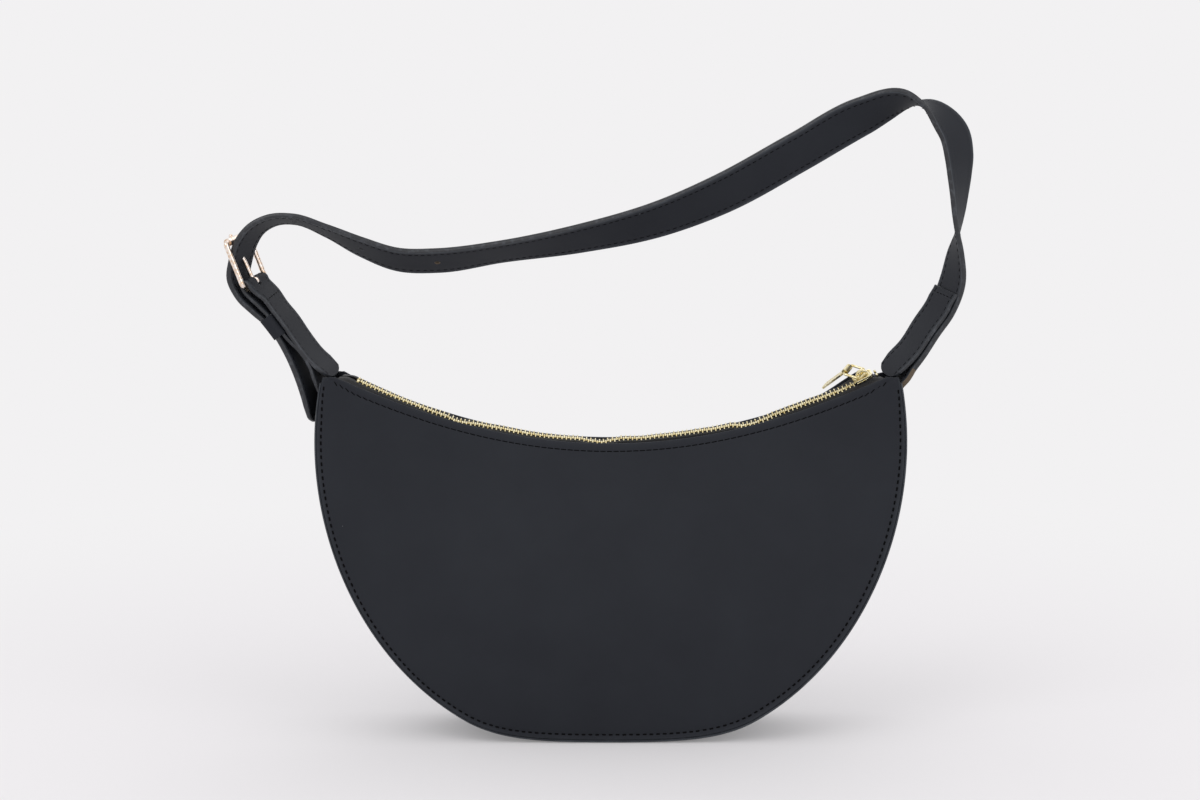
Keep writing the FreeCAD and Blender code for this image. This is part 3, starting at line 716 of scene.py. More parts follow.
@dataclass
class Panel:
    """One face of the bag with its rim and mouth seams."""

    form: BagForm
    side: Side
    thickness: float = 1.4
    # The rim seam's place inside the panel's edge, by the share of the way round the rim.
    rim_seams: tuple = ((0, 1.9), (0.3, 1.9), (0.44, 2.6), (0.62, 2.7), (0.8, 2.4), (1, 1.9))
    mouth_stitch: float = 3.9
    groove: float = 0.35
    groove_width: float = 0.8
    pucker: float = 0.14
    pucker_pitch: float = 6.8
    pucker_reach: float = 3.0
    rounding: float = 0.4
    face_length: float = 160.0
    handle_share: float = 0.35
    short_column: float = 30.0
    seam_share: float = 0.35
    # How strongly the rim and mouth edges take the paler edge colour, partly wear and partly painted
    # highlight, and how wide.
    rim_wear_and_highlight: float = 0.2
    mouth_wear_and_highlight: float = 0.1
    wear_and_highlight_width: float = 1.2
    seat_steps: int = 2400
    seat_margin: int = 24
    seat_ahead: float = 0.002
    stitch_lift: float = 0.12
    columns: int = 240
    middle_rows: int = 40
    rim_rows: tuple = (0, 0.4, 0.9, 1.4, 1.9, 2.4, 2.9, 3.6, 5.0, 7.0, 10.0, 15.0)
    mouth_rows: tuple = (0, 0.6, 1.5, 2.5, 3.2, 3.9, 4.6, 5.5, 7.5, 12.0)
    # Soft dents of the front as seen from it: x, z, half width, half height and depth.
    dents: tuple = (
        (-44.0, 48.0, 24.0, 12.0, 1.1),
        (-141.0, 168.0, 5.0, 26.0, 0.9),
        (62.0, 40.0, 30.0, 20.0, 0.6),
        (-20.0, 118.0, 40.0, 16.0, 0.5),
        (120.0, 120.0, 16.0, 34.0, 0.5),
    )
    columns_made: dict = field(default_factory=dict)

    def column(self, share: float) -> tuple[list[Vector], float]:
        """Return the four handles of the curve from rim to mouth at a share of the way, and its length."""
        if share not in self.columns_made:
            self.columns_made[share] = self.make_column(share)
        return self.columns_made[share]

    def make_column(self, share: float) -> tuple[list[Vector], float]:
        """Work out a column's handles and length."""
        form = self.form
        inset = form.rim_inset(share)
        rim = Vector(form.outline(share, inset, form.panel_top))
        deeper = Vector(form.outline(share, inset + 1, form.panel_top))
        mouth = Vector(form.mouth(share, self.side, -form.mouth_rise, form.panel_top))
        lower = Vector((mouth.x, mouth.y - form.zip_axis)).normalized()
        length = (rim - mouth).length
        ease = length * self.handle_share * smooth_step(0, self.short_column, length)
        inward = (deeper - rim).normalized()
        return [rim, rim + inward * ease, mouth + lower * ease, mouth], length

    def row(self, index: int, length: float) -> float:
        """Return the share of a column at which a row of the grid stands."""
        fit = min(1.0, self.seam_share * length / self.rim_rows[-1])
        rim, mouth = len(self.rim_rows), len(self.mouth_rows)
        last = rim + mouth + self.middle_rows - 1
        if index < rim:
            return self.rim_rows[index] * fit / length
        if index > last - mouth:
            return 1 - self.mouth_rows[last - index] * fit / length
        low = self.rim_rows[-1] * fit / length
        high = 1 - self.mouth_rows[-1] * fit / length
        return low + (high - low) * (index - rim + 1) / (self.middle_rows + 1)

    def flat_point(self, share: float, reach: float) -> tuple[float, float]:
        """Return x and z at a share along the rim and a share of the way to the mouth."""
        handles, _ = self.column(share)
        back = 1 - reach
        weights = (back**3, 3 * back * back * reach, 3 * back * reach * reach, reach**3)
        total = Vector((0, 0))
        for weight, handle in zip(weights, handles):
            total += handle * weight
        return total.x, total.y

    def surface(self, x: float, z: float, rim: float, mouth: float, run: float) -> Vector:
        """Return the point of the outer face over x and z.

        Args:
            x: Place to the right.
            z: Height.
            rim: Distance from the rim's seam.
            mouth: Distance from the mouth.
            run: Length along the rim, for its puckers.

        Returns:
            The point.
        """
        out = self.form.depth(x, z)
        out -= self.groove * bell(rim, self.groove_width)
        out -= self.groove * bell(mouth - self.mouth_stitch, self.groove_width)
        out += self.pucker * sin(2 * pi * run / self.pucker_pitch) * bell(rim, self.pucker_reach)
        if self.side is Side.FRONT:
            for at_x, at_z, wide, high, deep in self.dents:
                out -= deep * exp(-(((x - at_x) / wide) ** 2) - ((z - at_z) / high) ** 2)
        return Vector((x, self.side.value * out, z))

    def point(self, share: float, reach: float) -> Vector:
        """Return a point of the outer face by its shares."""
        _, length = self.column(share)
        x, z = self.flat_point(share, reach)
        seam = self.form.along(self.rim_seams, share)
        run = share * self.form.rim_length
        return self.surface(x, z, reach * length - seam, (1 - reach) * length, run)

    def seats(self, near_mouth: bool) -> list[Matrix]:
        """Return where the stitches of the rim or mouth seam sit."""
        form = self.form
        found, last = [], None
        for step in range(self.seat_margin, self.seat_steps - self.seat_margin):
            share = step / self.seat_steps
            _, length = self.column(share)
            inset = (self.mouth_stitch if near_mouth else form.along(self.rim_seams, share)) / length
            reach = 1 - inset if near_mouth else inset
            at = self.point(share, reach)
            if last is not None and (at - last).length < STITCH_PITCH:
                continue
            last = at
            ahead = self.point(share + self.seat_ahead, reach) - at
            slope = (form.depth(at.x, at.z + 1) - form.depth(at.x, at.z - 1)) / 2
            lean = (form.depth(at.x + 1, at.z) - form.depth(at.x - 1, at.z)) / 2
            up = Vector((-lean, self.side.value, -slope)).normalized()
            found.append(seat(at + up * self.stitch_lift, ahead, up))
        return found

    def build(self, stitch: bpy.types.Mesh, fine: bpy.types.Mesh) -> BMesh:
        """Model the panel with its two seams.

        Args:
            stitch: One stitch of the rim.
            fine: One stitch of the mouth.

        Returns:
            The panel's mesh.
        """
        rows = len(self.rim_rows) + len(self.mouth_rows) + self.middle_rows - 1

        def place(u: float, v: float) -> Vector:
            _, length = self.column(u)
            return self.point(u, self.row(round(v * rows), length))

        # The paler bands along rim and mouth: wear and a painted edge highlight.
        def wear_and_highlight(u: float, v: float) -> float:
            _, length = self.column(u)
            reach = self.row(round(v * rows), length) * length
            at_mouth = self.mouth_wear_and_highlight * bell(length - reach, self.wear_and_highlight_width)
            return self.rim_wear_and_highlight * bell(reach, self.wear_and_highlight_width) + at_mouth

        bm = curved_grid(self.columns, rows, place, flat(self.form.rim_length, self.face_length), wear_and_highlight)
        thicken(bm, -self.side.value * self.thickness, self.rounding)
        set_in(bm, stitch, self.seats(False))
        set_in(bm, fine, self.seats(True))
        return bm


@dataclass
class Gusset:
    """The strip between the panels, its two edges turned out and sewn to them."""

    form: BagForm
    thickness: float = 1.4
    strip_inset: float = 6.4
    bulge: float = 0.7
    rounding: float = 0.4
    girth: float = 70.0
    # The turned edges' paler colour: partly wear, partly a painted highlight that lifts the recessed lip out
    # of its shade.
    edge_wear_and_highlight: float = 0.9
    columns: int = 240
    # Half of the section: how far in from the outline, and how far from the panel's outer face.
    turned_edge: tuple = (
        (0.4, 0.7), (1.0, 0.7), (1.5, 1.5), (2.2, 2.0), (3.6, 1.6), (5.0, 1.7), (5.8, 2.1), (6.2, 2.8),
        (6.4, 3.7), (6.4, 6.0),
    )
    # Insets where the lip starts to follow the panels' wider edge, follows it, eases off and ends.
    lip: tuple = (0.4, 1.0, 2.2, 3.6)
    strip_rows: int = 14

    def section(self, share: float, index: int) -> tuple[float, float]:
        """Return inset and y of a row of the section at a share along the outline."""
        x, z = self.form.outline(share, 0, self.form.gusset_top)
        half = self.form.depth(x, z)
        edge = len(self.turned_edge)
        last = 2 * edge + self.strip_rows - 1
        if index < edge or index > last - edge:
            inset, back = self.turned_edge[min(index, last - index)]
            wider = self.form.rim_inset(share) - self.form.least_inset
            rise, full, ease, done = self.lip
            inset += wider * smooth_step(rise, full, inset) * smooth_step(done, ease, inset)
            return inset, (back - half) * (1 if index < edge else -1)
        wide = half - self.turned_edge[-1][1]
        y = -wide + 2 * wide * (index - edge + 1) / (self.strip_rows + 1)
        return self.strip_inset - self.bulge * (1 - (y / wide) ** 2), y

    def build(self) -> BMesh:
        """Model the gusset as one strip from corner to corner."""
        rows = 2 * len(self.turned_edge) + self.strip_rows - 1

        def place(u: float, v: float) -> Vector:
            inset, y = self.section(u, round(v * rows))
            x, z = self.form.outline(u, inset, self.form.gusset_top)
            return Vector((x, y, z))

        # Paler turned edges: wear and a painted highlight on the shaded lip.
        def wear_and_highlight(u: float, v: float) -> float:
            return self.edge_wear_and_highlight * bell(min(v, 1 - v) * rows, 1.0)

        bm = curved_grid(self.columns, rows, place, flat(self.form.rim_length, self.girth), wear_and_highlight)
        thicken(bm, self.thickness, self.rounding)
        return bm


@dataclass
class Lining:
    """The sewn cloth bag inside."""

    form: BagForm
    inset: float = 6.9
    behind: float = 1.7
    drop: float = 1.2
    top_gap: float = 1.0
    slack: float = 0.6
    sag: float = 0.5
    sag_waves: tuple = (9.0, 23.0)
    run: float = 460.0
    face_length: float = 150.0
    girth: float = 60.0
    columns: int = 90
    rows: int = 26
    strip_rows: int = 12
    weld: float = 0.01

    def half_point(self, side: Side, u: float, v: float) -> Vector:
        """Return a point of one face of the lining."""
        form = self.form
        low = Vector(form.outline(u, self.inset, form.gusset_top))
        high = Vector(form.mouth(u, side, self.drop, form.gusset_top - self.top_gap))
        x, z = low.lerp(high, v)
        across, upward = self.sag_waves
        sag = self.sag * sin(x / across + z / upward) * sin(pi * v)
        return Vector((x, side.value * (form.depth(x, z) - self.behind - self.slack - abs(sag)), z))

    def build(self) -> BMesh:
        """Model both faces and the strip between them."""
        whole = bmesh.new()
        for side in Side:
            half = partial(self.half_point, side)
            join(whole, curved_grid(self.columns, self.rows, half, flat(self.run, self.face_length)))

        def strip(u: float, v: float) -> Vector:
            front, back = self.half_point(Side.FRONT, u, 0), self.half_point(Side.BACK, u, 0)
            return front.lerp(back, v)

        join(whole, curved_grid(self.columns, self.strip_rows, strip, flat(self.run, self.girth)))
        bmesh.ops.remove_doubles(whole, verts=whole.verts, dist=self.weld)
        bmesh.ops.recalc_face_normals(whole, faces=whole.faces)
        return whole


@dataclass
class BagBody:
    """Panels, gusset and lining."""

    form: BagForm
    finishes: Finishes
    # Width, height and, where it isn't the usual one, length of a stitch.
    rim_thread: tuple = (0.92, 0.5)
    mouth_thread: tuple = (0.5, 0.34, 2.9)

    def build(self) -> None:
        """Model and dress the body's pieces."""
        stitch, fine = stitch_template(*self.rim_thread), stitch_template(*self.mouth_thread)
        turned = self.finishes.turned()
        for side, node in ((Side.FRONT, "front_panel"), (Side.BACK, "back_panel")):
            panel = make_piece(
                side.name.lower() + "_face", Panel(self.form, side).build(stitch, fine), turned, Slot.LEATHER
            )
            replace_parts(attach(panel, Body.BAG.value), node)
        gusset = make_piece("gusset_strip", Gusset(self.form).build(), self.finishes.sewn(), Slot.LEATHER)
        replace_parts(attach(gusset, Body.BAG.value), "gusset")
        lining = make_piece("lining_bag", Lining(self.form).build(), [self.finishes.lining], Slot.LINING)
        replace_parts(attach(lining, Body.BAG.value), "lining_front", "lining_back", "lining_gusset")


@dataclass
class Zip:
    """The curved metal zip: tapes, two rows of teeth and their stops."""

    form: BagForm
    finishes: Finishes
    tape_edge: float = 1.7
    tape_thick: float = 0.7
    tape_reach: float = 146.3
    tape_short: float = 1.8
    tape_sag: float = 0.25
    tape_rounding: float = 0.15
    tape_size: tuple = (300.0, 9.0)
    tape_columns: int = 180
    tape_rows: int = 10
    flat_reach: float = 0.5
    tuck: float = 1.3
    tuck_height: float = 196.6
    tuck_ease: float = 1.0
    pitch: float = 2.4
    tooth_thick: float = 1.05
    tooth_reach: float = 0.9
    tooth_back: float = 3.2
    tooth_height: float = 1.6
    tooth_rounding: float = 0.18
    least_part: float = 0.3
    leg_rise: float = 1.15
    leg_thick: float = 0.7
    leg_start: float = -0.6
    head_back: float = 1.0
    stop_gap: float = 1.8
    chain_left: float = 137.727
    post_gap: float = 1.0
    stop_length: float = 1.8
    look_angle: float = 0.004

    def tape(self, side: Side) -> BMesh:
        """Model one woven tape from its corded edge to the seam under the panel.

        Args:
            side: Front or back.

        Returns:
            The tape's mesh.
        """
        form = self.form
        end = asin(self.tape_reach / form.zip_radius)

        def place(u: float, v: float) -> Vector:
            angle = (2 * u - 1) * end
            edge = form.zip_point(angle, 0, 0)
            wide = (form.depth(edge.x, edge.z) - self.tape_short) / cos(radians(form.zip_tilt))
            across = self.tape_edge + (wide - self.tape_edge) * v
            sag = -self.tape_sag * sin(pi * v)
            at = form.zip_point(angle, side.value * across, self.tape_thick / 2 + sag)
            tucked = min(at.z, form.edge_height(at.x, side) - self.tuck)
            level = self.tooth_back + self.flat_reach
            at.z += (tucked - at.z) * smooth_step(level, max(wide, level + 1), across)
            over = at.z - self.tuck_height
            at.z -= max(over, 0) + max(self.tuck_ease - abs(over), 0) ** 2 / (4 * self.tuck_ease)
            return at

        bm = curved_grid(self.tape_columns, self.tape_rows, place, flat(*self.tape_size))
        thicken(bm, self.tape_thick * side.value, self.tape_rounding)
        return bm

    def tooth(self, thick: float, reach: float) -> bpy.types.Mesh:
        """Make one tooth, its head towards +Y and its legs, thinner, over the tape."""
        bm = new_bmesh()
        legs = thick * self.leg_thick / self.tooth_thick
        tip = min(self.leg_start, reach)
        head = (thick, -self.head_back, reach, 1.0)
        for wide, low, high, tall in (head, (legs, -self.tooth_back, tip, self.leg_rise)):
            if high - low < self.least_part:
                continue
            own = bevelled_block(Vector((wide, high - low, self.tooth_height * tall)), self.tooth_rounding)
            join(bm, own, (0, (low + high) / 2, 0))
        return as_mesh(bm, "tooth")

    def seats(self, side: Side, angles: Iterable[float]) -> list[Matrix]:
        """Return where teeth sit at angles along one tape."""
        found = []
        look, point = self.look_angle, self.form.zip_point
        for angle in angles:
            at = point(angle, 0, 0)
            ahead = point(angle + look, 0, 0) - point(angle - look, 0, 0)
            up = point(angle, 0, 1) - at
            found.append(seat(at, ahead * -side.value, up))
        return found

    def build(self) -> None:
        """Model and dress the tapes, teeth and stops."""
        form = self.form
        slider = asin(form.slider_reach / form.zip_radius)
        start = -asin(self.chain_left / form.zip_radius)
        half_post = form.post[0] / 2
        end = slider + (form.post_place - half_post - self.post_gap) / form.zip_radius
        step = self.pitch / form.zip_radius
        count = int((end - start) / step)
        tooth = self.tooth(self.tooth_thick, self.tooth_reach)
        stop = self.tooth(self.stop_length, self.tooth_reach)
        short = self.tooth(self.stop_length, -half_post)
        past = slider + (form.slider_length / 2 + self.stop_length) / form.zip_radius
        before = end - step * (count - 0.5) - self.stop_gap / form.zip_radius
        tops, bottoms = bmesh.new(), bmesh.new()
        for side in Side:
            name = side.name.lower()
            tape = make_piece(name + "_tape_strip", self.tape(side), [self.finishes.tape] * 2, Slot.ZIP_TAPE)
            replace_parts(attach(tape, Body.BAG.value), name + "_zip_tape")
            first = end - (0.5 * step if side is Side.BACK else 0)
            bm = bmesh.new()
            set_in(bm, tooth, self.seats(side, [first - step * index for index in range(count)]))
            teeth = make_piece(name + "_tooth_row", bm, [self.finishes.zip_metal], Slot.ZIP_METAL)
            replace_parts(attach(teeth, Body.BAG.value), name + "_zip_teeth")
            set_in(tops, short, self.seats(side, [past]))
            set_in(bottoms, stop, self.seats(side, [before]))
        top, bottom = ("top_stop_pair", tops, "zip_top_stops"), ("bottom_stop", bottoms, "zip_bottom_stop")
        for name, bm, node in (top, bottom):
            piece = make_piece(name, bm, [self.finishes.zip_metal], Slot.ZIP_METAL)
            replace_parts(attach(piece, Body.BAG.value), node)
        dress_node("pull_link", self.finishes.zip_metal)


@dataclass
class Slider:
    """The zip's slider with its bridge, and the pull that hangs from its link."""

    form: BagForm
    finishes: Finishes
    plate: float = 1.1
    plate_in: float = 1.5
    half_width: float = 4.3
    tail_half_width: float = 4.1
    chamfer: float = 1.2
    lip: tuple = (8.6, 0.6, 0.8)
    lip_middle: float = 3.8
    post_height: float = 1.35
    bridge_radius: float = 2.9
    bridge_height: float = 3.2
    bridge_bar: float = 1.2
    bridge_width: float = 2.0
    hinge_height: float = 3.9
    link_length: float = 8.6
    link_yaw: float = 135.0
    link_lift: float = 24.0
    pull_dip: float = 24.0
    pull_length: float = 23.0
    pull_half_width: float = 3.1
    pull_neck: float = 2.7
    pull_shoulder: float = 4.0
    pull_thick: float = 1.2
    pull_corner: float = 1.2
    eye_inner: float = 0.85
    eye_outer: float = 1.81
    eye_gap: float = 0.3
    eye_steps: int = 24
    weld: float = 0.001
    # Width of the raised rim on a plate's top and radius of its corners.
    plate_rim: tuple = (0.8, 0.7)
    pull_rim: tuple = (0.7, 0.4)
    # Slope and depth of the hollow inside the rim.
    hollow: tuple = (0.15, 0.2)
    edge_radius: float = 0.2
    block_radius: float = 0.12
    bridge_edge: float = 0.3
    bridge_steps: int = 16
    bridge_sunk: float = 0.15
    edge_turn: float = 60.0
    sharp_angle: float = 35.0

    def frame(self) -> Matrix:
        """Return the slider's own axes: X along the chain, Y across it, Z out of the tape."""
        angle = asin(self.form.slider_reach / self.form.zip_radius)
        at = self.form.zip_point(angle, 0, 0)
        up = self.form.zip_point(angle, 0, 1, self.form.zip_tilt) - at
        return seat(at, Vector((cos(angle), 0, sin(angle))), up)

    def slab(self, bm: BMesh, upper: list[tuple[float, float]], low: float, thick: float, rim: tuple) -> None:
        """Add a plate with rounded edges and a raised rim.

        Args:
            bm: The mesh that gets it.
            upper: Half of its outline in X and Y, which the other half mirrors.
            low: Height of its underside.
            thick: Its thickness.
            rim: Width of the rim on its top, and radius of its corners.
        """
        outline = upper + [(x, -y) for x, y in reversed(upper)]
        width, corner = rim
        slope, deep = self.hollow
        own = bmesh.new()
        face = own.faces.new([own.verts.new((x, y, low)) for x, y in outline])
        raised = bmesh.ops.extrude_face_region(own, geom=[face])["geom"]
        moved = [item for item in raised if isinstance(item, bmesh.types.BMVert)]
        bmesh.ops.translate(own, vec=Vector((0, 0, thick)), verts=moved)
        upright = [edge for edge in own.edges if climb(edge) > thick / 2]
        round_edges(own, upright, corner, 3, True)
        bmesh.ops.recalc_face_normals(own, faces=own.faces)
        flat = [edge for edge in own.edges if climb(edge) < thick / 2]
        round_edges(own, flat, self.edge_radius, 2, True)
        top = [face for face in own.faces if face.normal.z > 0.99]
        bmesh.ops.inset_region(own, faces=top, thickness=width, use_even_offset=True)
        bmesh.ops.inset_region(own, faces=top, thickness=slope, depth=-deep, use_even_offset=True)
        join(bm, own)

    def block(self, bm: BMesh, size: tuple, at: tuple) -> None:
        """Add a small rounded block."""
        join(bm, bevelled_block(Vector(size), self.block_radius), at)

    def bridge(self, bm: BMesh) -> None:
        """Add the arch that the link hangs from."""
        own = bmesh.new()
        half, wide = self.bridge_bar / 2, self.bridge_width / 2
        corners = ((-half, -wide), (half, -wide), (half, wide), (-half, wide))
        start = own.faces.new([own.verts.new((x - self.bridge_radius, y, 0)) for x, y in corners])
        bar = [start, *start.edges, *start.verts]
        bmesh.ops.spin(own, geom=bar, cent=(0, 0, 0), axis=(0, 1, 0), angle=pi, steps=self.bridge_steps)
        bmesh.ops.recalc_face_normals(own, faces=own.faces)
        turn = radians(self.edge_turn)
        long = [edge for edge in own.edges if len(edge.link_faces) == 2 and edge.calc_face_angle() > turn]
        round_edges(own, long, self.bridge_edge, 2)
        bmesh.ops.scale(own, vec=Vector((1, 1, self.bridge_height / self.bridge_radius)), verts=own.verts)
        join(bm, own, (0, 0, self.plate_in + self.plate - self.bridge_sunk))

    def body(self) -> BMesh:
        """Model the slider in its own axes, and put it in its place."""
        long, wide = self.form.slider_length / 2, self.half_width
        tail, cut = self.tail_half_width, self.chamfer
        upper = [(-long, tail - cut), (cut - long, tail), (0, tail), (long - cut, wide), (long, wide - cut)]
        bm = new_bmesh()
        for low in (-self.plate_in - self.plate, self.plate_in):
            self.slab(bm, upper, low, self.plate, self.plate_rim)
            for edge in (-1, 1):
                height = (self.plate_in - self.lip[2] / 2) * (1 if low > 0 else -1)
                self.block(bm, self.lip, (0, edge * self.lip_middle, height))
        # The post is a stub on each plate, so that the closed chain passes between them.
        for end in (-1, 1):
            self.block(bm, self.form.post, (self.form.post_place, 0, end * self.post_height))
        self.bridge(bm)
        bmesh.ops.transform(bm, matrix=self.frame(), verts=bm.verts)
        return bm

    def pull(self) -> BMesh:
        """Model the pull tab with the eye round the link's far bar."""
        yaw = Matrix.Rotation(radians(self.link_yaw), 4, "Z")
        rise = yaw @ Matrix.Rotation(radians(-self.link_lift), 4, "Y")
        far = Vector((0, 0, self.hinge_height)) + rise @ Vector((self.link_length, 0, 0))
        place = self.frame() @ Matrix.Translation(far) @ yaw @ Matrix.Rotation(radians(self.pull_dip), 4, "Y")
        long, wide = self.pull_length, self.pull_half_width
        neck, shoulder = self.pull_neck, self.pull_shoulder
        cut, inner, outer = self.pull_corner, self.eye_inner, self.eye_outer
        upper = [(inner + self.eye_gap, neck), (shoulder - cut, neck), (shoulder, wide)]
        upper += [(long - cut, wide), (long, wide - cut)]
        bm = new_bmesh()
        self.slab(bm, upper, -self.pull_thick / 2, self.pull_thick, self.pull_rim)
        own = bmesh.new()
        section = ((inner, -neck), (outer, -neck), (outer, neck), (inner, neck))
        start = own.faces.new([own.verts.new((x, y, 0)) for x, y in section])
        ring = list(start.edges) + list(start.verts)
        bmesh.ops.spin(
            own, geom=ring, cent=(0, 0, 0), axis=(0, 1, 0), angle=2 * pi, steps=self.eye_steps,
            use_merge=True,
        )
        bmesh.ops.delete(own, geom=[start], context="FACES_ONLY")
        bmesh.ops.remove_doubles(own, verts=own.verts, dist=self.weld)
        bmesh.ops.recalc_face_normals(own, faces=own.faces)
        join(bm, own)
        bmesh.ops.transform(bm, matrix=place, verts=bm.verts)
        return bm

    def build(self) -> None:
        """Model and dress the slider and its pull."""
        metal = [self.finishes.zip_metal]
        body = make_piece("slider_body", self.body(), metal, Slot.ZIP_METAL, self.sharp_angle)
        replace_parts(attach(body, Body.SLIDER.value), "zip_slider")
        pull = make_piece("pull_plate", self.pull(), metal, Slot.ZIP_METAL, self.sharp_angle)
        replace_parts(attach(pull, Body.TAB.value), "pull_tab")


def dress_node(node: str, material: Material) -> None:
    """Give a CAD node that stays its material."""
    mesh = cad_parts[node].data
    mesh.materials.clear()
    mesh.materials.append(material)
    LOG.info("%s: CAD node kept", node)


class Route:
    """A flat strap's way: points with the direction of its width, joined by a smooth curve."""

    STEPS = 16

    def __init__(self, points: list[Vector], across: list[Vector]) -> None:
        """Sample the smooth curve through the points.

        Args:
            points: The stations.
            across: The direction of the width at each.
        """
        self.points: list[Vector] = []
        self.wide: list[Vector] = []
        last = len(points) - 1
        for index in range(last):
            near = [max(index - 1, 0), index, index + 1, min(index + 2, last)]
            gaps = [(points[after] - points[before]).length for before, after in zip(near, near[1:])]
            for step in range(self.STEPS):
                share = step / self.STEPS
                self.points.append(self.between([points[i] for i in near], gaps, share))
                self.wide.append(self.between([across[i] for i in near], gaps, share).normalized())
        self.points.append(points[-1].copy())
        self.wide.append(across[-1].normalized())
        self.run = [0.0]
        for a, b in zip(self.points, self.points[1:]):
            self.run.append(self.run[-1] + (b - a).length)
        self.station_runs = self.run[:: self.STEPS]

    @staticmethod
    def between(ends: list[Vector], gaps: list[float], share: float) -> Vector:
        """Return a point of the smooth curve between the middle two of four values.

        Args:
            ends: The four values.
            gaps: The distances between their stations, 0 past an end of the route.
            share: How far from the second to the third.

        Returns:
            The value there.
        """
        chord = ends[2] - ends[1]
        leave, reach = chord, chord
        if gaps[0] > 0:
            leave = ((ends[1] - ends[0]) * (gaps[1] ** 2 / gaps[0]) + chord * gaps[0]) / (gaps[0] + gaps[1])
        if gaps[2] > 0:
            reach = (chord * gaps[2] + (ends[3] - ends[2]) * (gaps[1] ** 2 / gaps[2])) / (gaps[1] + gaps[2])
        square, cube = share * share, share**3
        start = ends[1] * (2 * cube - 3 * square + 1) + leave * (cube - 2 * square + share)
        return start + ends[2] * (3 * square - 2 * cube) + reach * (cube - square)

    @classmethod
    def level(cls, stations: tuple) -> "Route":
        """Make a route from stations of x, z and how far the back edge turns inward, in degrees."""
        points = [Vector((x, 0, z)) for x, z, _ in stations]
        across = []
        for index, (_, _, turn) in enumerate(stations):
            ahead = (points[min(index + 1, len(points) - 1)] - points[max(index - 1, 0)]).normalized()
            inner = Vector((ahead.z, 0, -ahead.x))
            across.append(Vector((0, cos(radians(turn)), 0)) + inner * sin(radians(turn)))
        return cls(points, across)

    @property
    def length(self) -> float:
        """Return the whole length."""
        return self.run[-1]

    def at(self, run: float) -> tuple[Vector, Vector, Vector, Vector]:
        """Return point, ahead, across and normal at a length along the route."""
        run = min(max(run, 0.0), self.length)
        index = min(max(bisect.bisect(self.run, run), 1), len(self.run) - 1)
        a, b = self.points[index - 1], self.points[index]
        share = (run - self.run[index - 1]) / max(self.run[index] - self.run[index - 1], 1e-9)
        before, after = self.points[max(index - 2, 0)], self.points[min(index + 1, len(self.points) - 1)]
        ahead = ((b - before).lerp(after - a, share)).normalized()
        across = self.wide[index - 1].lerp(self.wide[index], share)
        across = (across - ahead * across.dot(ahead)).normalized()
        return a.lerp(b, share), ahead, across, across.cross(ahead)


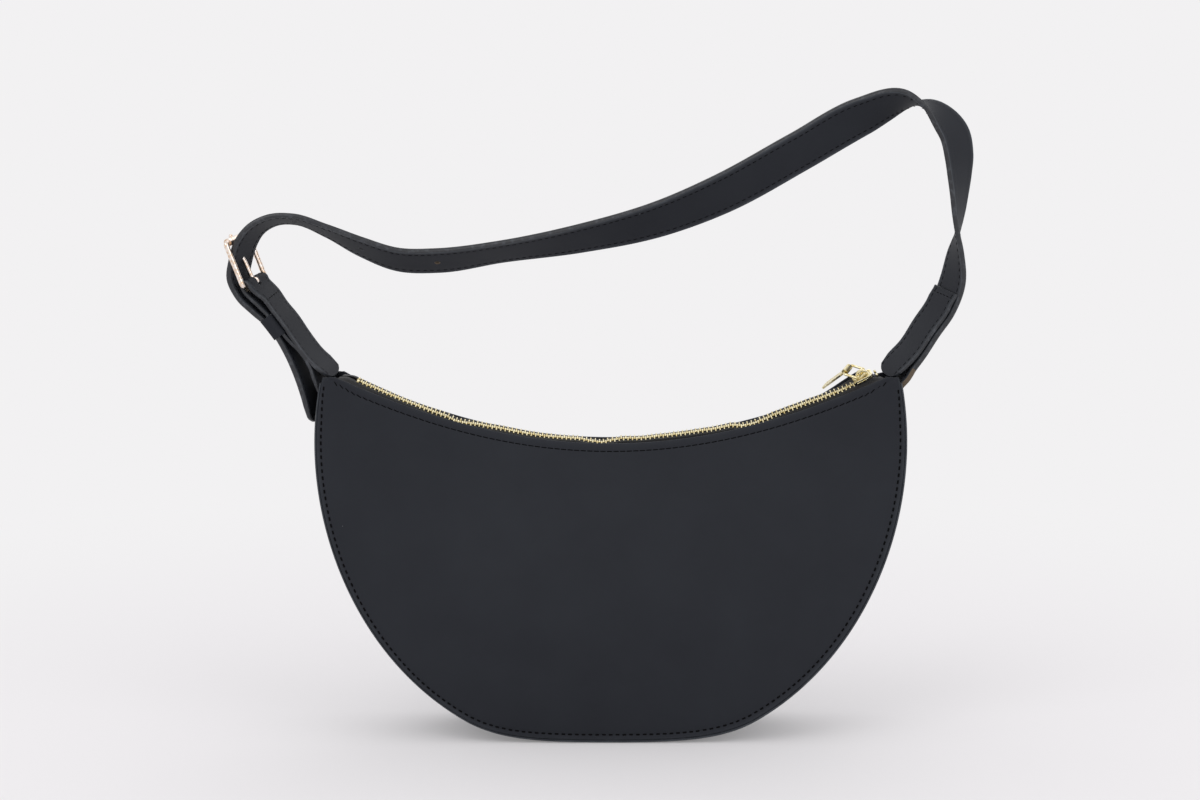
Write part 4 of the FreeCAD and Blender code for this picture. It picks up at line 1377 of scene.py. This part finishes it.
@dataclass
class Ribbon:
    """A flat leather strap along a route, sewn along both edges."""

    route: Route
    thickness: float
    width: float = 24.0
    start: Tip = Tip.SQUARE
    end: Tip = Tip.SQUARE
    tip_shape: float = 2.6
    tip_length: float = 9.0
    rows: int = 16
    step: float = 1.5
    from_run: float = 0.0
    to_run: float = 0.0
    stitch_inset: float = 3.0
    stitch_lift: float = 0.04
    tip_margin: float = 2.0
    join_margin: float = 1.5
    groove: float = 0.12
    groove_width: float = 0.7
    skive: float = 0.0
    skived: float = 0.5
    rounding: float = 0.55
    # Width of the paler edge band: wear and a painted highlight on the rounded edges.
    wear_and_highlight_width: float = 1.1
    core_margin: float = 1.2
    holes: tuple = ()
    hole_radius: float = 1.6
    hole_margin: float = 0.2
    hole_depth: float = 6.0
    # How near to the plane and to the middle of a join the faces are that stay square.
    join_reach: tuple = (0.05, 20.0)
    cross_seams: tuple = ()
    slot: tuple = ()
    worn: tuple = ()
    backing: tuple = ()
    tufts: tuple = ()

    def tip_shift(self, across: float, tip: Tip) -> float:
        """Return how far a rounded tip falls back at a distance from the middle line."""
        if tip is not Tip.ROUND:
            return 0.0
        share = min(1.0, abs(across) / (self.width / 2))
        return self.tip_length * (1 - (1 - share**self.tip_shape) ** (1 / self.tip_shape))

    def run_at(self, u: float, across: float) -> float:
        """Return the length along the route of a share of the strap."""
        low = self.from_run + self.tip_shift(across, self.start)
        high = self.to_run - self.tip_shift(across, self.end)
        return low + (high - low) * u

    def face(self, run: float, across: float, side: float) -> Vector:
        """Return a point of one face of the strap: side is 1 for the face its normal leaves, or -1."""
        at, _, wide, normal = self.route.at(run)
        inset = self.width / 2 - abs(across)
        lift = self.thickness / 2 - self.groove * bell(inset - self.stitch_inset, self.groove_width)
        if self.skive and side > 0:
            lift -= (self.thickness - self.skived) * (1 - smooth_step(0, self.skive, run - self.from_run))
        return at + wide * across + normal * (side * lift)

    def margin(self, across: float, tip: Tip) -> float:
        """Return how far from an end of the strap its seams stop."""
        return self.join_margin if tip is Tip.JOIN else self.tip_shift(across, tip) + self.tip_margin

    def seats(self) -> list[Matrix]:
        """Return where the stitches sit on both faces."""
        found = []
        edge = self.width / 2 - self.stitch_inset
        low = self.from_run + self.margin(edge, self.start)
        high = self.to_run - self.margin(edge, self.end)
        count = int((high - low) / STITCH_PITCH)
        steps = int(2 * edge / STITCH_PITCH)

        def add(run: float, across: float, side: float, crosswise: bool) -> None:
            """Seat one stitch."""
            _, ahead, wide, normal = self.route.at(run)
            up = normal * side
            at = self.face(run, across, side) + up * self.stitch_lift
            found.append(seat(at, wide if crosswise else ahead, up))

        for side in (-1.0, 1.0):
            for across in (-edge, edge):
                for index in range(count + 1):
                    add(low + (high - low) * index / max(count, 1), across, side, False)
            for run in self.cross_seams:
                for index in range(steps + 1):
                    add(run, -edge + 2 * edge * index / steps, side, True)
        for at, along in self.tufts:
            found.append(seat(Vector(at), Vector(along), Vector((0, -1, 0))))
        return found

    def punch(self, bm: BMesh, run: float) -> None:
        """Open a round hole in the sheet and join its edge to the grid around it."""
        at, ahead, wide, normal = self.route.at(run)
        at = at + normal * (self.thickness / 2)
        reach = 2 * self.step + self.hole_margin
        limits = ((ahead, reach), (wide, reach), (normal, self.hole_depth))
        taken = []
        for face in bm.faces:
            offset = face.calc_center_median() - at
            if all(abs(offset.dot(way)) < limit for way, limit in limits):
                taken.append(face)
        before = {edge for edge in bm.edges if edge.is_boundary}
        bmesh.ops.delete(bm, geom=taken, context="FACES")
        border = [edge for edge in bm.edges if edge.is_boundary and edge not in before]
        turned = axes_at(ahead, wide, ahead.cross(wide), at)
        ring = bmesh.ops.create_circle(
            bm, segments=len(border), radius=self.hole_radius, matrix=turned
        )["verts"]
        edges = {edge for vert in ring for edge in vert.link_edges}
        bmesh.ops.bridge_loops(bm, edges=border + list(edges))

    def build(self, stitch: bpy.types.Mesh) -> BMesh:
        """Model the strap with its stitches.

        Args:
            stitch: One stitch.

        Returns:
            The strap's mesh.
        """
        self.to_run = self.to_run or self.route.length
        length = self.to_run - self.from_run
        columns = max(4, round(length / self.step))

        def place(u: float, v: float) -> Vector:
            across = (v - 0.5) * self.width
            return self.face(self.run_at(u, across), across, 1.0)

        # Paler cut edges: wear and a painted highlight along both edges.
        def wear_and_highlight(u: float, v: float) -> float:
            return bell((0.5 - abs(v - 0.5)) * self.width, self.wear_and_highlight_width)

        bm = curved_grid(columns, self.rows, place, flat(length, self.width), wear_and_highlight)
        if self.slot:
            low, high, half = self.slot
            taken = []
            for face in bm.faces:
                run, across = self.nearest(face.calc_center_median())
                if low < run < high and abs(across) < half:
                    taken.append(face)
            bmesh.ops.delete(bm, geom=taken, context="FACES")
        for run in self.holes:
            self.punch(bm, run)
        ends = []
        for tip, run in ((self.start, self.from_run), (self.end, self.to_run)):
            if tip is Tip.JOIN:
                ends.append(self.route.at(run))

        def at_join(middle: Vector) -> bool:
            near, wide = self.join_reach
            offsets = [(middle - at, ahead) for at, ahead, _, _ in ends]
            return any(abs(gap.dot(ahead)) < near and gap.length < wide for gap, ahead in offsets)

        thicken(bm, -self.thickness, self.rounding, at_join)
        self.bare(bm)
        set_in(bm, stitch, self.seats())
        return bm

    def bare(self, bm: BMesh) -> None:
        """Show the core at the given spots of the cut edge, and on the lining side of a fold."""
        for face in bm.faces:
            middle = face.calc_center_median()
            if face.material_index == EDGE:
                if any((middle - Vector(spot)).length < reach for spot, reach in self.worn):
                    face.material_index = CORE
            elif self.backing:
                run, across = self.nearest(middle)
                _, _, _, normal = self.route.at(run)
                inside = face.normal.dot(normal) > 0.5 and abs(across) < self.width / 2 - self.core_margin
                if inside and self.backing[0] < run < self.backing[1]:
                    face.material_index = CORE

    def nearest(self, at: Vector) -> tuple[float, float]:
        """Return the length along the route and the distance across it of the nearest sampled point."""
        points = self.route.points
        best = min(range(len(points)), key=lambda index: (points[index] - at).length_squared)
        return self.route.run[best], (at - points[best]).dot(self.route.wide[best])


@dataclass
class BuckleEnd:
    """Where the buckle's heel bar lies, and its axes."""

    heel: Vector
    ply: float
    lean: float = 110.6
    turn: float = 18.0
    bar: float = 2.8
    running: float = 0.06
    fold_angles: tuple = tuple(range(100, -101, -25))

    def axes(self) -> tuple[Vector, Vector, Vector]:
        """Return the directions from heel to roller, along the bars, and outward."""
        lean, turn = radians(self.lean), radians(self.turn)
        ahead = Vector((cos(lean), 0, sin(lean)))
        inward = Vector((sin(lean), 0, -cos(lean)))
        along = Vector((0, cos(turn), 0)) + inward * sin(turn)
        return ahead, along, ahead.cross(along)

    def fold(self) -> tuple[list[Vector], list[Vector]]:
        """Return the points and widths of the chape's fold round the heel bar, from outside to inside."""
        ahead, along, outward = self.axes()
        radius = self.bar / 2 + self.running + self.ply / 2
        points = []
        for angle in self.fold_angles:
            turn = radians(angle)
            points.append(self.heel + ahead * (radius * cos(turn)) + outward * (radius * sin(turn)))
        return points, [along] * len(points)


@dataclass
class Straps:
    """The strap through the buckle, the chape, the right tab and the keeper."""

    finishes: Finishes
    thickness: float = 2.6
    ply: float = 1.7
    join_station: int = 9
    hole_stations: tuple = (12, 14, 16)
    # Stations from the free tip to the right corner: x, z and how far the back edge turns inward, in degrees.
    route: tuple = (
        (-159.6, 172.6, 13), (-162.0, 184.0, 14), (-166.2, 199.0, 16), (-172.2, 213.5, 17),
        (-180.6, 227.2, 18), (-189.4, 235.0, 18), (-197.0, 242.6, 18), (-200.8, 250.8, 18),
        (-199.6, 259.6, 18), (-196.3, 269.5, 18), (-191.0, 276.5, 15), (-182.0, 281.2, 13),
        (-170.0, 281.6, 13), (-153.0, 275.4, 17), (-134.0, 266.6, 26), (-115.0, 260.0, 31),
        (-93.5, 259.4, 32), (-59.7, 264.1, 28), (-16.6, 271.3, 38), (26.5, 282.0, 51),
        (60.0, 295.5, 60), (101.0, 318.0, 61), (134.0, 336.5, 56), (156.0, 344.5, 27),
        (165.5, 343.2, -2), (172.0, 340.3, -22), (178.5, 334.8, -36), (184.1, 327.1, -43),
        (186.6, 316.7, -42), (187.2, 305.8, -35), (187.3, 295.4, -27), (187.1, 284.5, -19),
        (186.8, 274.8, -9), (186.0, 264.0, 7), (184.5, 248.0, 21), (179.5, 234.0, 22),
        (172.0, 222.5, 21), (164.2, 209.5, 19), (160.0, 203.4, 18), (157.0, 198.0, 17),
        (155.0, 194.4, 12), (153.4, 190.5, 6),
    )
    chape_outer: tuple = (
        (-154.9, 190.5, 12), (-157.4, 197.0, 13), (-159.8, 204.8, 14), (-165.2, 213.2, 14),
        (-171.4, 219.6, 14), (-180.0, 230.8, 15), (-186.4, 238.2, 18),
    )
    chape_inner: tuple = (
        (-183.4, 240.6, -14), (-179.6, 235.0, -13), (-173.4, 226.9, -14), (-167.3, 217.6, -14),
        (-161.3, 209.4, -14), (-157.2, 205.0, -14), (-152.2, 200.8, -14), (-149.6, 197.4, -14),
    )
    tab: tuple = (
        (180.4, 243.9, 22), (177.0, 235.1, 22), (169.7, 224.1, 21), (161.4, 211.2, 20),
        (156.0, 205.4, 20), (151.8, 200.8, 19), (149.6, 197.4, 18),
    )
    # Loose thread ends at the tab's back edge: where, and which way they point.
    tab_tufts: tuple = (
        ((163.0, 11.3, 220.6), (-0.6, 0.2, 0.8)),
        ((162.8, 11.2, 220.0), (-1.0, 0.1, 0.2)),
    )
    # Width and height of a stitch.
    thread: tuple = (0.45, 0.3)
    tail_tip: float = 10.0
    tab_seam: float = 3.0
    tab_skive: float = 7.0
    # The chape's grid, and from its fold's middle: the prong's slot, the seam and the bare backing.
    chape_rows: int = 12
    chape_step: float = 1.2
    fold_station: int = 4
    slot_reach: float = 6.5
    slot_half_width: float = 2.0
    seam_after: float = 15.0
    backing: tuple = (-7.0, 16.0)
    heel: tuple = (-192.6, 0.0, 247.9)
    keeper_at: tuple = (-178.8, 0.0, 226.5)
    keeper_size: tuple = (7.3, 28.0, 12.0)
    keeper_wall: float = 1.0
    keeper_corner: float = 3.0
    keeper_segments: int = 5
    keeper_cuts: int = 7
    keeper_flare: float = 0.03
    keeper_rounding: float = 0.35
    keeper_along: tuple = (0.6, 0.0, -0.8)
    keeper_inner: tuple = (0.8, 0.0, 0.6)
    keeper_turn: float = 18.0
    # How far round the last hole the edge shows the pale core.
    last_hole_core_radius: float = 3.0
    # Places where the front edge is frayed down to the core, each with its reach.
    worn_spots: tuple = (((158.8, -11.5, 194.0), 3.4), ((161.0, -11.4, 199.5), 3.2))

    def chape_route(self) -> Route:
        """Join the outer ply, the fold round the heel bar and the inner ply."""
        outer, inner = Route.level(self.chape_outer), Route.level(self.chape_inner)
        steps = Route.STEPS
        points, across = BuckleEnd(Vector(self.heel), self.ply).fold()
        return Route(
            outer.points[::steps] + points + inner.points[::steps],
            outer.wide[::steps] + across + inner.wide[::steps],
        )

    def keeper(self) -> BMesh:
        """Model the loop of leather that holds the free end down."""
        bm = new_bmesh()
        bmesh.ops.create_cube(bm, size=1)
        bmesh.ops.scale(bm, vec=Vector(self.keeper_size), verts=bm.verts)
        ends = [face for face in bm.faces if abs(face.normal.z) > 0.5]
        bmesh.ops.delete(bm, geom=ends, context="FACES_ONLY")
        corners = [edge for edge in bm.edges if climb(edge) > 1]
        round_edges(bm, corners, self.keeper_corner, self.keeper_segments)
        long = [edge for edge in bm.edges if climb(edge) > 1]
        bmesh.ops.subdivide_edges(bm, edges=long, cuts=self.keeper_cuts)
        half = self.keeper_size[2] / 2
        for vert in bm.verts:
            vert.co.x *= 1 + self.keeper_flare * (vert.co.z / half) ** 2
        bmesh.ops.recalc_face_normals(bm, faces=bm.faces)
        thicken(bm, self.keeper_wall, self.keeper_rounding)
        along, inner, turn = Vector(self.keeper_along), Vector(self.keeper_inner), radians(self.keeper_turn)
        across = Vector((0, cos(turn), 0)) + inner * sin(turn)
        turned = axes_at(across.cross(along), across, along, Vector(self.keeper_at))
        bmesh.ops.transform(bm, matrix=turned, verts=bm.verts)
        return bm

    def build(self) -> None:
        """Model and dress the straps."""
        stitch = stitch_template(*self.thread)
        sewn = self.finishes.sewn()
        way = Route.level(self.route)
        seam = way.station_runs[self.join_station]
        holes = tuple(way.station_runs[index] for index in self.hole_stations)
        tail = Ribbon(
            way, self.thickness, start=Tip.ROUND, end=Tip.JOIN, to_run=seam, tip_length=self.tail_tip
        )
        tail_piece = make_piece("strap_tail", tail.build(stitch), sewn, Slot.LEATHER)
        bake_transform(tail_piece, "bag", "buckle", start=(-0.182, 0, 0.225), end=(-0.199, 0, 0.262))
        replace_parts(tail_piece, "strap_free_end")
        # The edge round the last hole shows the pale core too, besides the frayed spots.
        worn = ((way.at(holes[-1])[0], self.last_hole_core_radius), *self.worn_spots)
        arch = Ribbon(way, self.thickness, start=Tip.JOIN, from_run=seam, holes=holes, worn=worn)
        arch_piece = make_piece("strap_arch", arch.build(stitch), sewn, Slot.LEATHER)
        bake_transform(arch_piece, "bag", "buckle", start=(-0.140, 0, 0.270), end=(-0.194, 0, 0.270))
        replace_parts(arch_piece, "shoulder_strap")
        chape_way = self.chape_route()
        fold = chape_way.station_runs[len(self.chape_outer) + self.fold_station]
        chape = Ribbon(
            chape_way, self.ply, end=Tip.ROUND, rows=self.chape_rows, step=self.chape_step,
            slot=(fold - self.slot_reach, fold + self.slot_reach, self.slot_half_width),
            cross_seams=(fold + self.seam_after,), backing=tuple(fold + run for run in self.backing),
        )
        chape_piece = make_piece("chape_fold", chape.build(stitch), sewn, Slot.LEATHER)
        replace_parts(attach(chape_piece, Body.BAG.value), "buckle_chape")
        tab = Ribbon(
            Route.level(self.tab), self.ply, end=Tip.ROUND, cross_seams=(self.tab_seam,),
            skive=self.tab_skive, tufts=self.tab_tufts,
        )
        tab_piece = make_piece("right_tab", tab.build(stitch), sewn, Slot.LEATHER)
        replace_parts(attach(tab_piece, Body.BAG.value), "right_strap_tab")
        keeper = make_piece("keeper_band", self.keeper(), sewn, Slot.LEATHER)
        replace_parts(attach(keeper, Body.KEEPER.value), "keeper_loop")
        for node in ("buckle_frame", "buckle_roller", "buckle_prong"):
            dress_node(node, self.finishes.buckle_metal)


@dataclass
class Studio:
    """The pale floor, soft lights and the camera."""

    wall: str = "#f2f1f2"
    floor: str = "#ebe9eb"
    floor_radius: float = 2.6
    fade_from: float = 0.2
    fade_to: float = 0.75
    least_glow: float = 0.22
    target: tuple = (-5.8, 0.0, 183.5)
    distance: float = 1300.0
    elevation: float = 8.0
    lens: float = 71.73
    room_light: float = 0.95
    floor_sides: int = 64
    sensor: float = 36.0
    nearest: float = 0.01
    aim: tuple = (0.0, 0.0, 0.15)
    box_width: float = 1.2
    # The soft boxes: where they hang, in metres, and their power in watts.
    boxes: tuple = (
        ("key_box", (-0.9, -1.3, 1.5), 8.0),
        ("fill_box", (1.1, -1.1, 1.0), 4.0),
        ("back_box", (0.3, 1.4, 1.3), 3.0),
    )

    def seen(self, tree: NodeTree) -> bpy.types.NodeSocket:
        """Return a socket that is 1 for what the camera sees, straight or in metal."""
        path = add_node(tree, "LightPath")
        seen = path.outputs["Is Camera Ray"]
        for name in ("Is Glossy Ray", "Is Transmission Ray"):
            either = {0: seen, 1: path.outputs[name]}
            seen = add_node(tree, "Math", either, operation="MAXIMUM").outputs[0]
        return seen

    def pale_floor(self) -> None:
        """Lay a round floor that fades into the background away from the bag."""
        bm = bmesh.new()
        bmesh.ops.create_circle(bm, cap_ends=True, segments=self.floor_sides, radius=self.floor_radius)
        mesh = as_mesh(bm, "floor")
        floor = put("floor", mesh)
        material, tree = new_material("pale_paper_floor")
        place = add_node(tree, "TexCoord").outputs["Object"]
        away = add_node(tree, "VectorMath", {0: place}, operation="LENGTH").outputs["Value"]
        ends = {"From Min": self.fade_from, "From Max": self.fade_to, "To Min": self.least_glow}
        spread = {"Value": away, **ends}
        fade = add_node(tree, "MapRange", spread, interpolation_type="SMOOTHSTEP").outputs["Result"]
        share = add_node(tree, "Math", {0: fade, 1: self.seen(tree)}, operation="MULTIPLY").outputs[0]
        paper = add_node(tree, "BsdfDiffuse", {"Color": hex_to_linear(self.floor)}).outputs["BSDF"]
        shine = {"Color": hex_to_linear(self.wall), "Strength": 1.0}
        glow = add_node(tree, "Emission", shine).outputs["Emission"]
        mixed = add_node(tree, "MixShader", {0: share, 1: paper, 2: glow}).outputs["Shader"]
        add_node(tree, "OutputMaterial", {"Surface": mixed})
        mesh.materials.append(material)

    def light(self, name: str, at: Vector, power: float) -> None:
        """Hang one soft box that faces the bag."""
        data = bpy.data.lights.new(name, "AREA")
        data.energy = power
        data.shape = "SQUARE"
        data.size = self.box_width
        lamp = put(name, data)
        lamp.location = at
        lamp.rotation_euler = (Vector(self.aim) - at).to_track_quat("-Z", "Y").to_euler()

    def world(self) -> None:
        """Light the room evenly, with a pale background for what the camera and mirrors see."""
        world = bpy.data.worlds.new("room")
        bpy.context.scene.world = world
        world.use_nodes = True
        tree = world.node_tree
        tree.nodes.clear()
        power = {"Value": self.seen(tree), "To Min": self.room_light, "To Max": 1.0}
        strength = add_node(tree, "MapRange", power).outputs["Result"]
        back = add_node(tree, "Background", {"Color": hex_to_linear(self.wall), "Strength": strength})
        add_node(tree, "OutputWorld", {"Surface": back.outputs["Background"]})

    def camera(self) -> None:
        """Put the camera at the photograph's viewing angle."""
        data = bpy.data.cameras.new("view")
        data.sensor_fit = "HORIZONTAL"
        data.sensor_width = self.sensor
        data.lens = self.lens
        data.clip_start = self.nearest
        camera = put("view", data)
        rise = radians(self.elevation)
        offset = Vector((0, -cos(rise), sin(rise))) * self.distance
        camera.location = (Vector(self.target) + offset) * MM
        camera.rotation_euler = (radians(90) - rise, 0, 0)
        bpy.context.scene.camera = camera

    def build(self) -> None:
        """Set up everything round the bag."""
        bpy.context.scene.view_settings.view_transform = "Standard"
        self.pale_floor()
        self.world()
        for name, at, power in self.boxes:
            self.light(name, Vector(at), power)
        self.camera()


def main() -> None:
    """Build the bag piece by piece, logging each piece's face count."""
    logging.basicConfig(level=logging.INFO, format="%(name)s: %(message)s")
    finishes = Finishes()
    form = BagForm()
    BagBody(form, finishes).build()
    Zip(form, finishes).build()
    Slider(form, finishes).build()
    Straps(finishes).build()
    Studio().build()


if __name__ == "__main__":
    main()
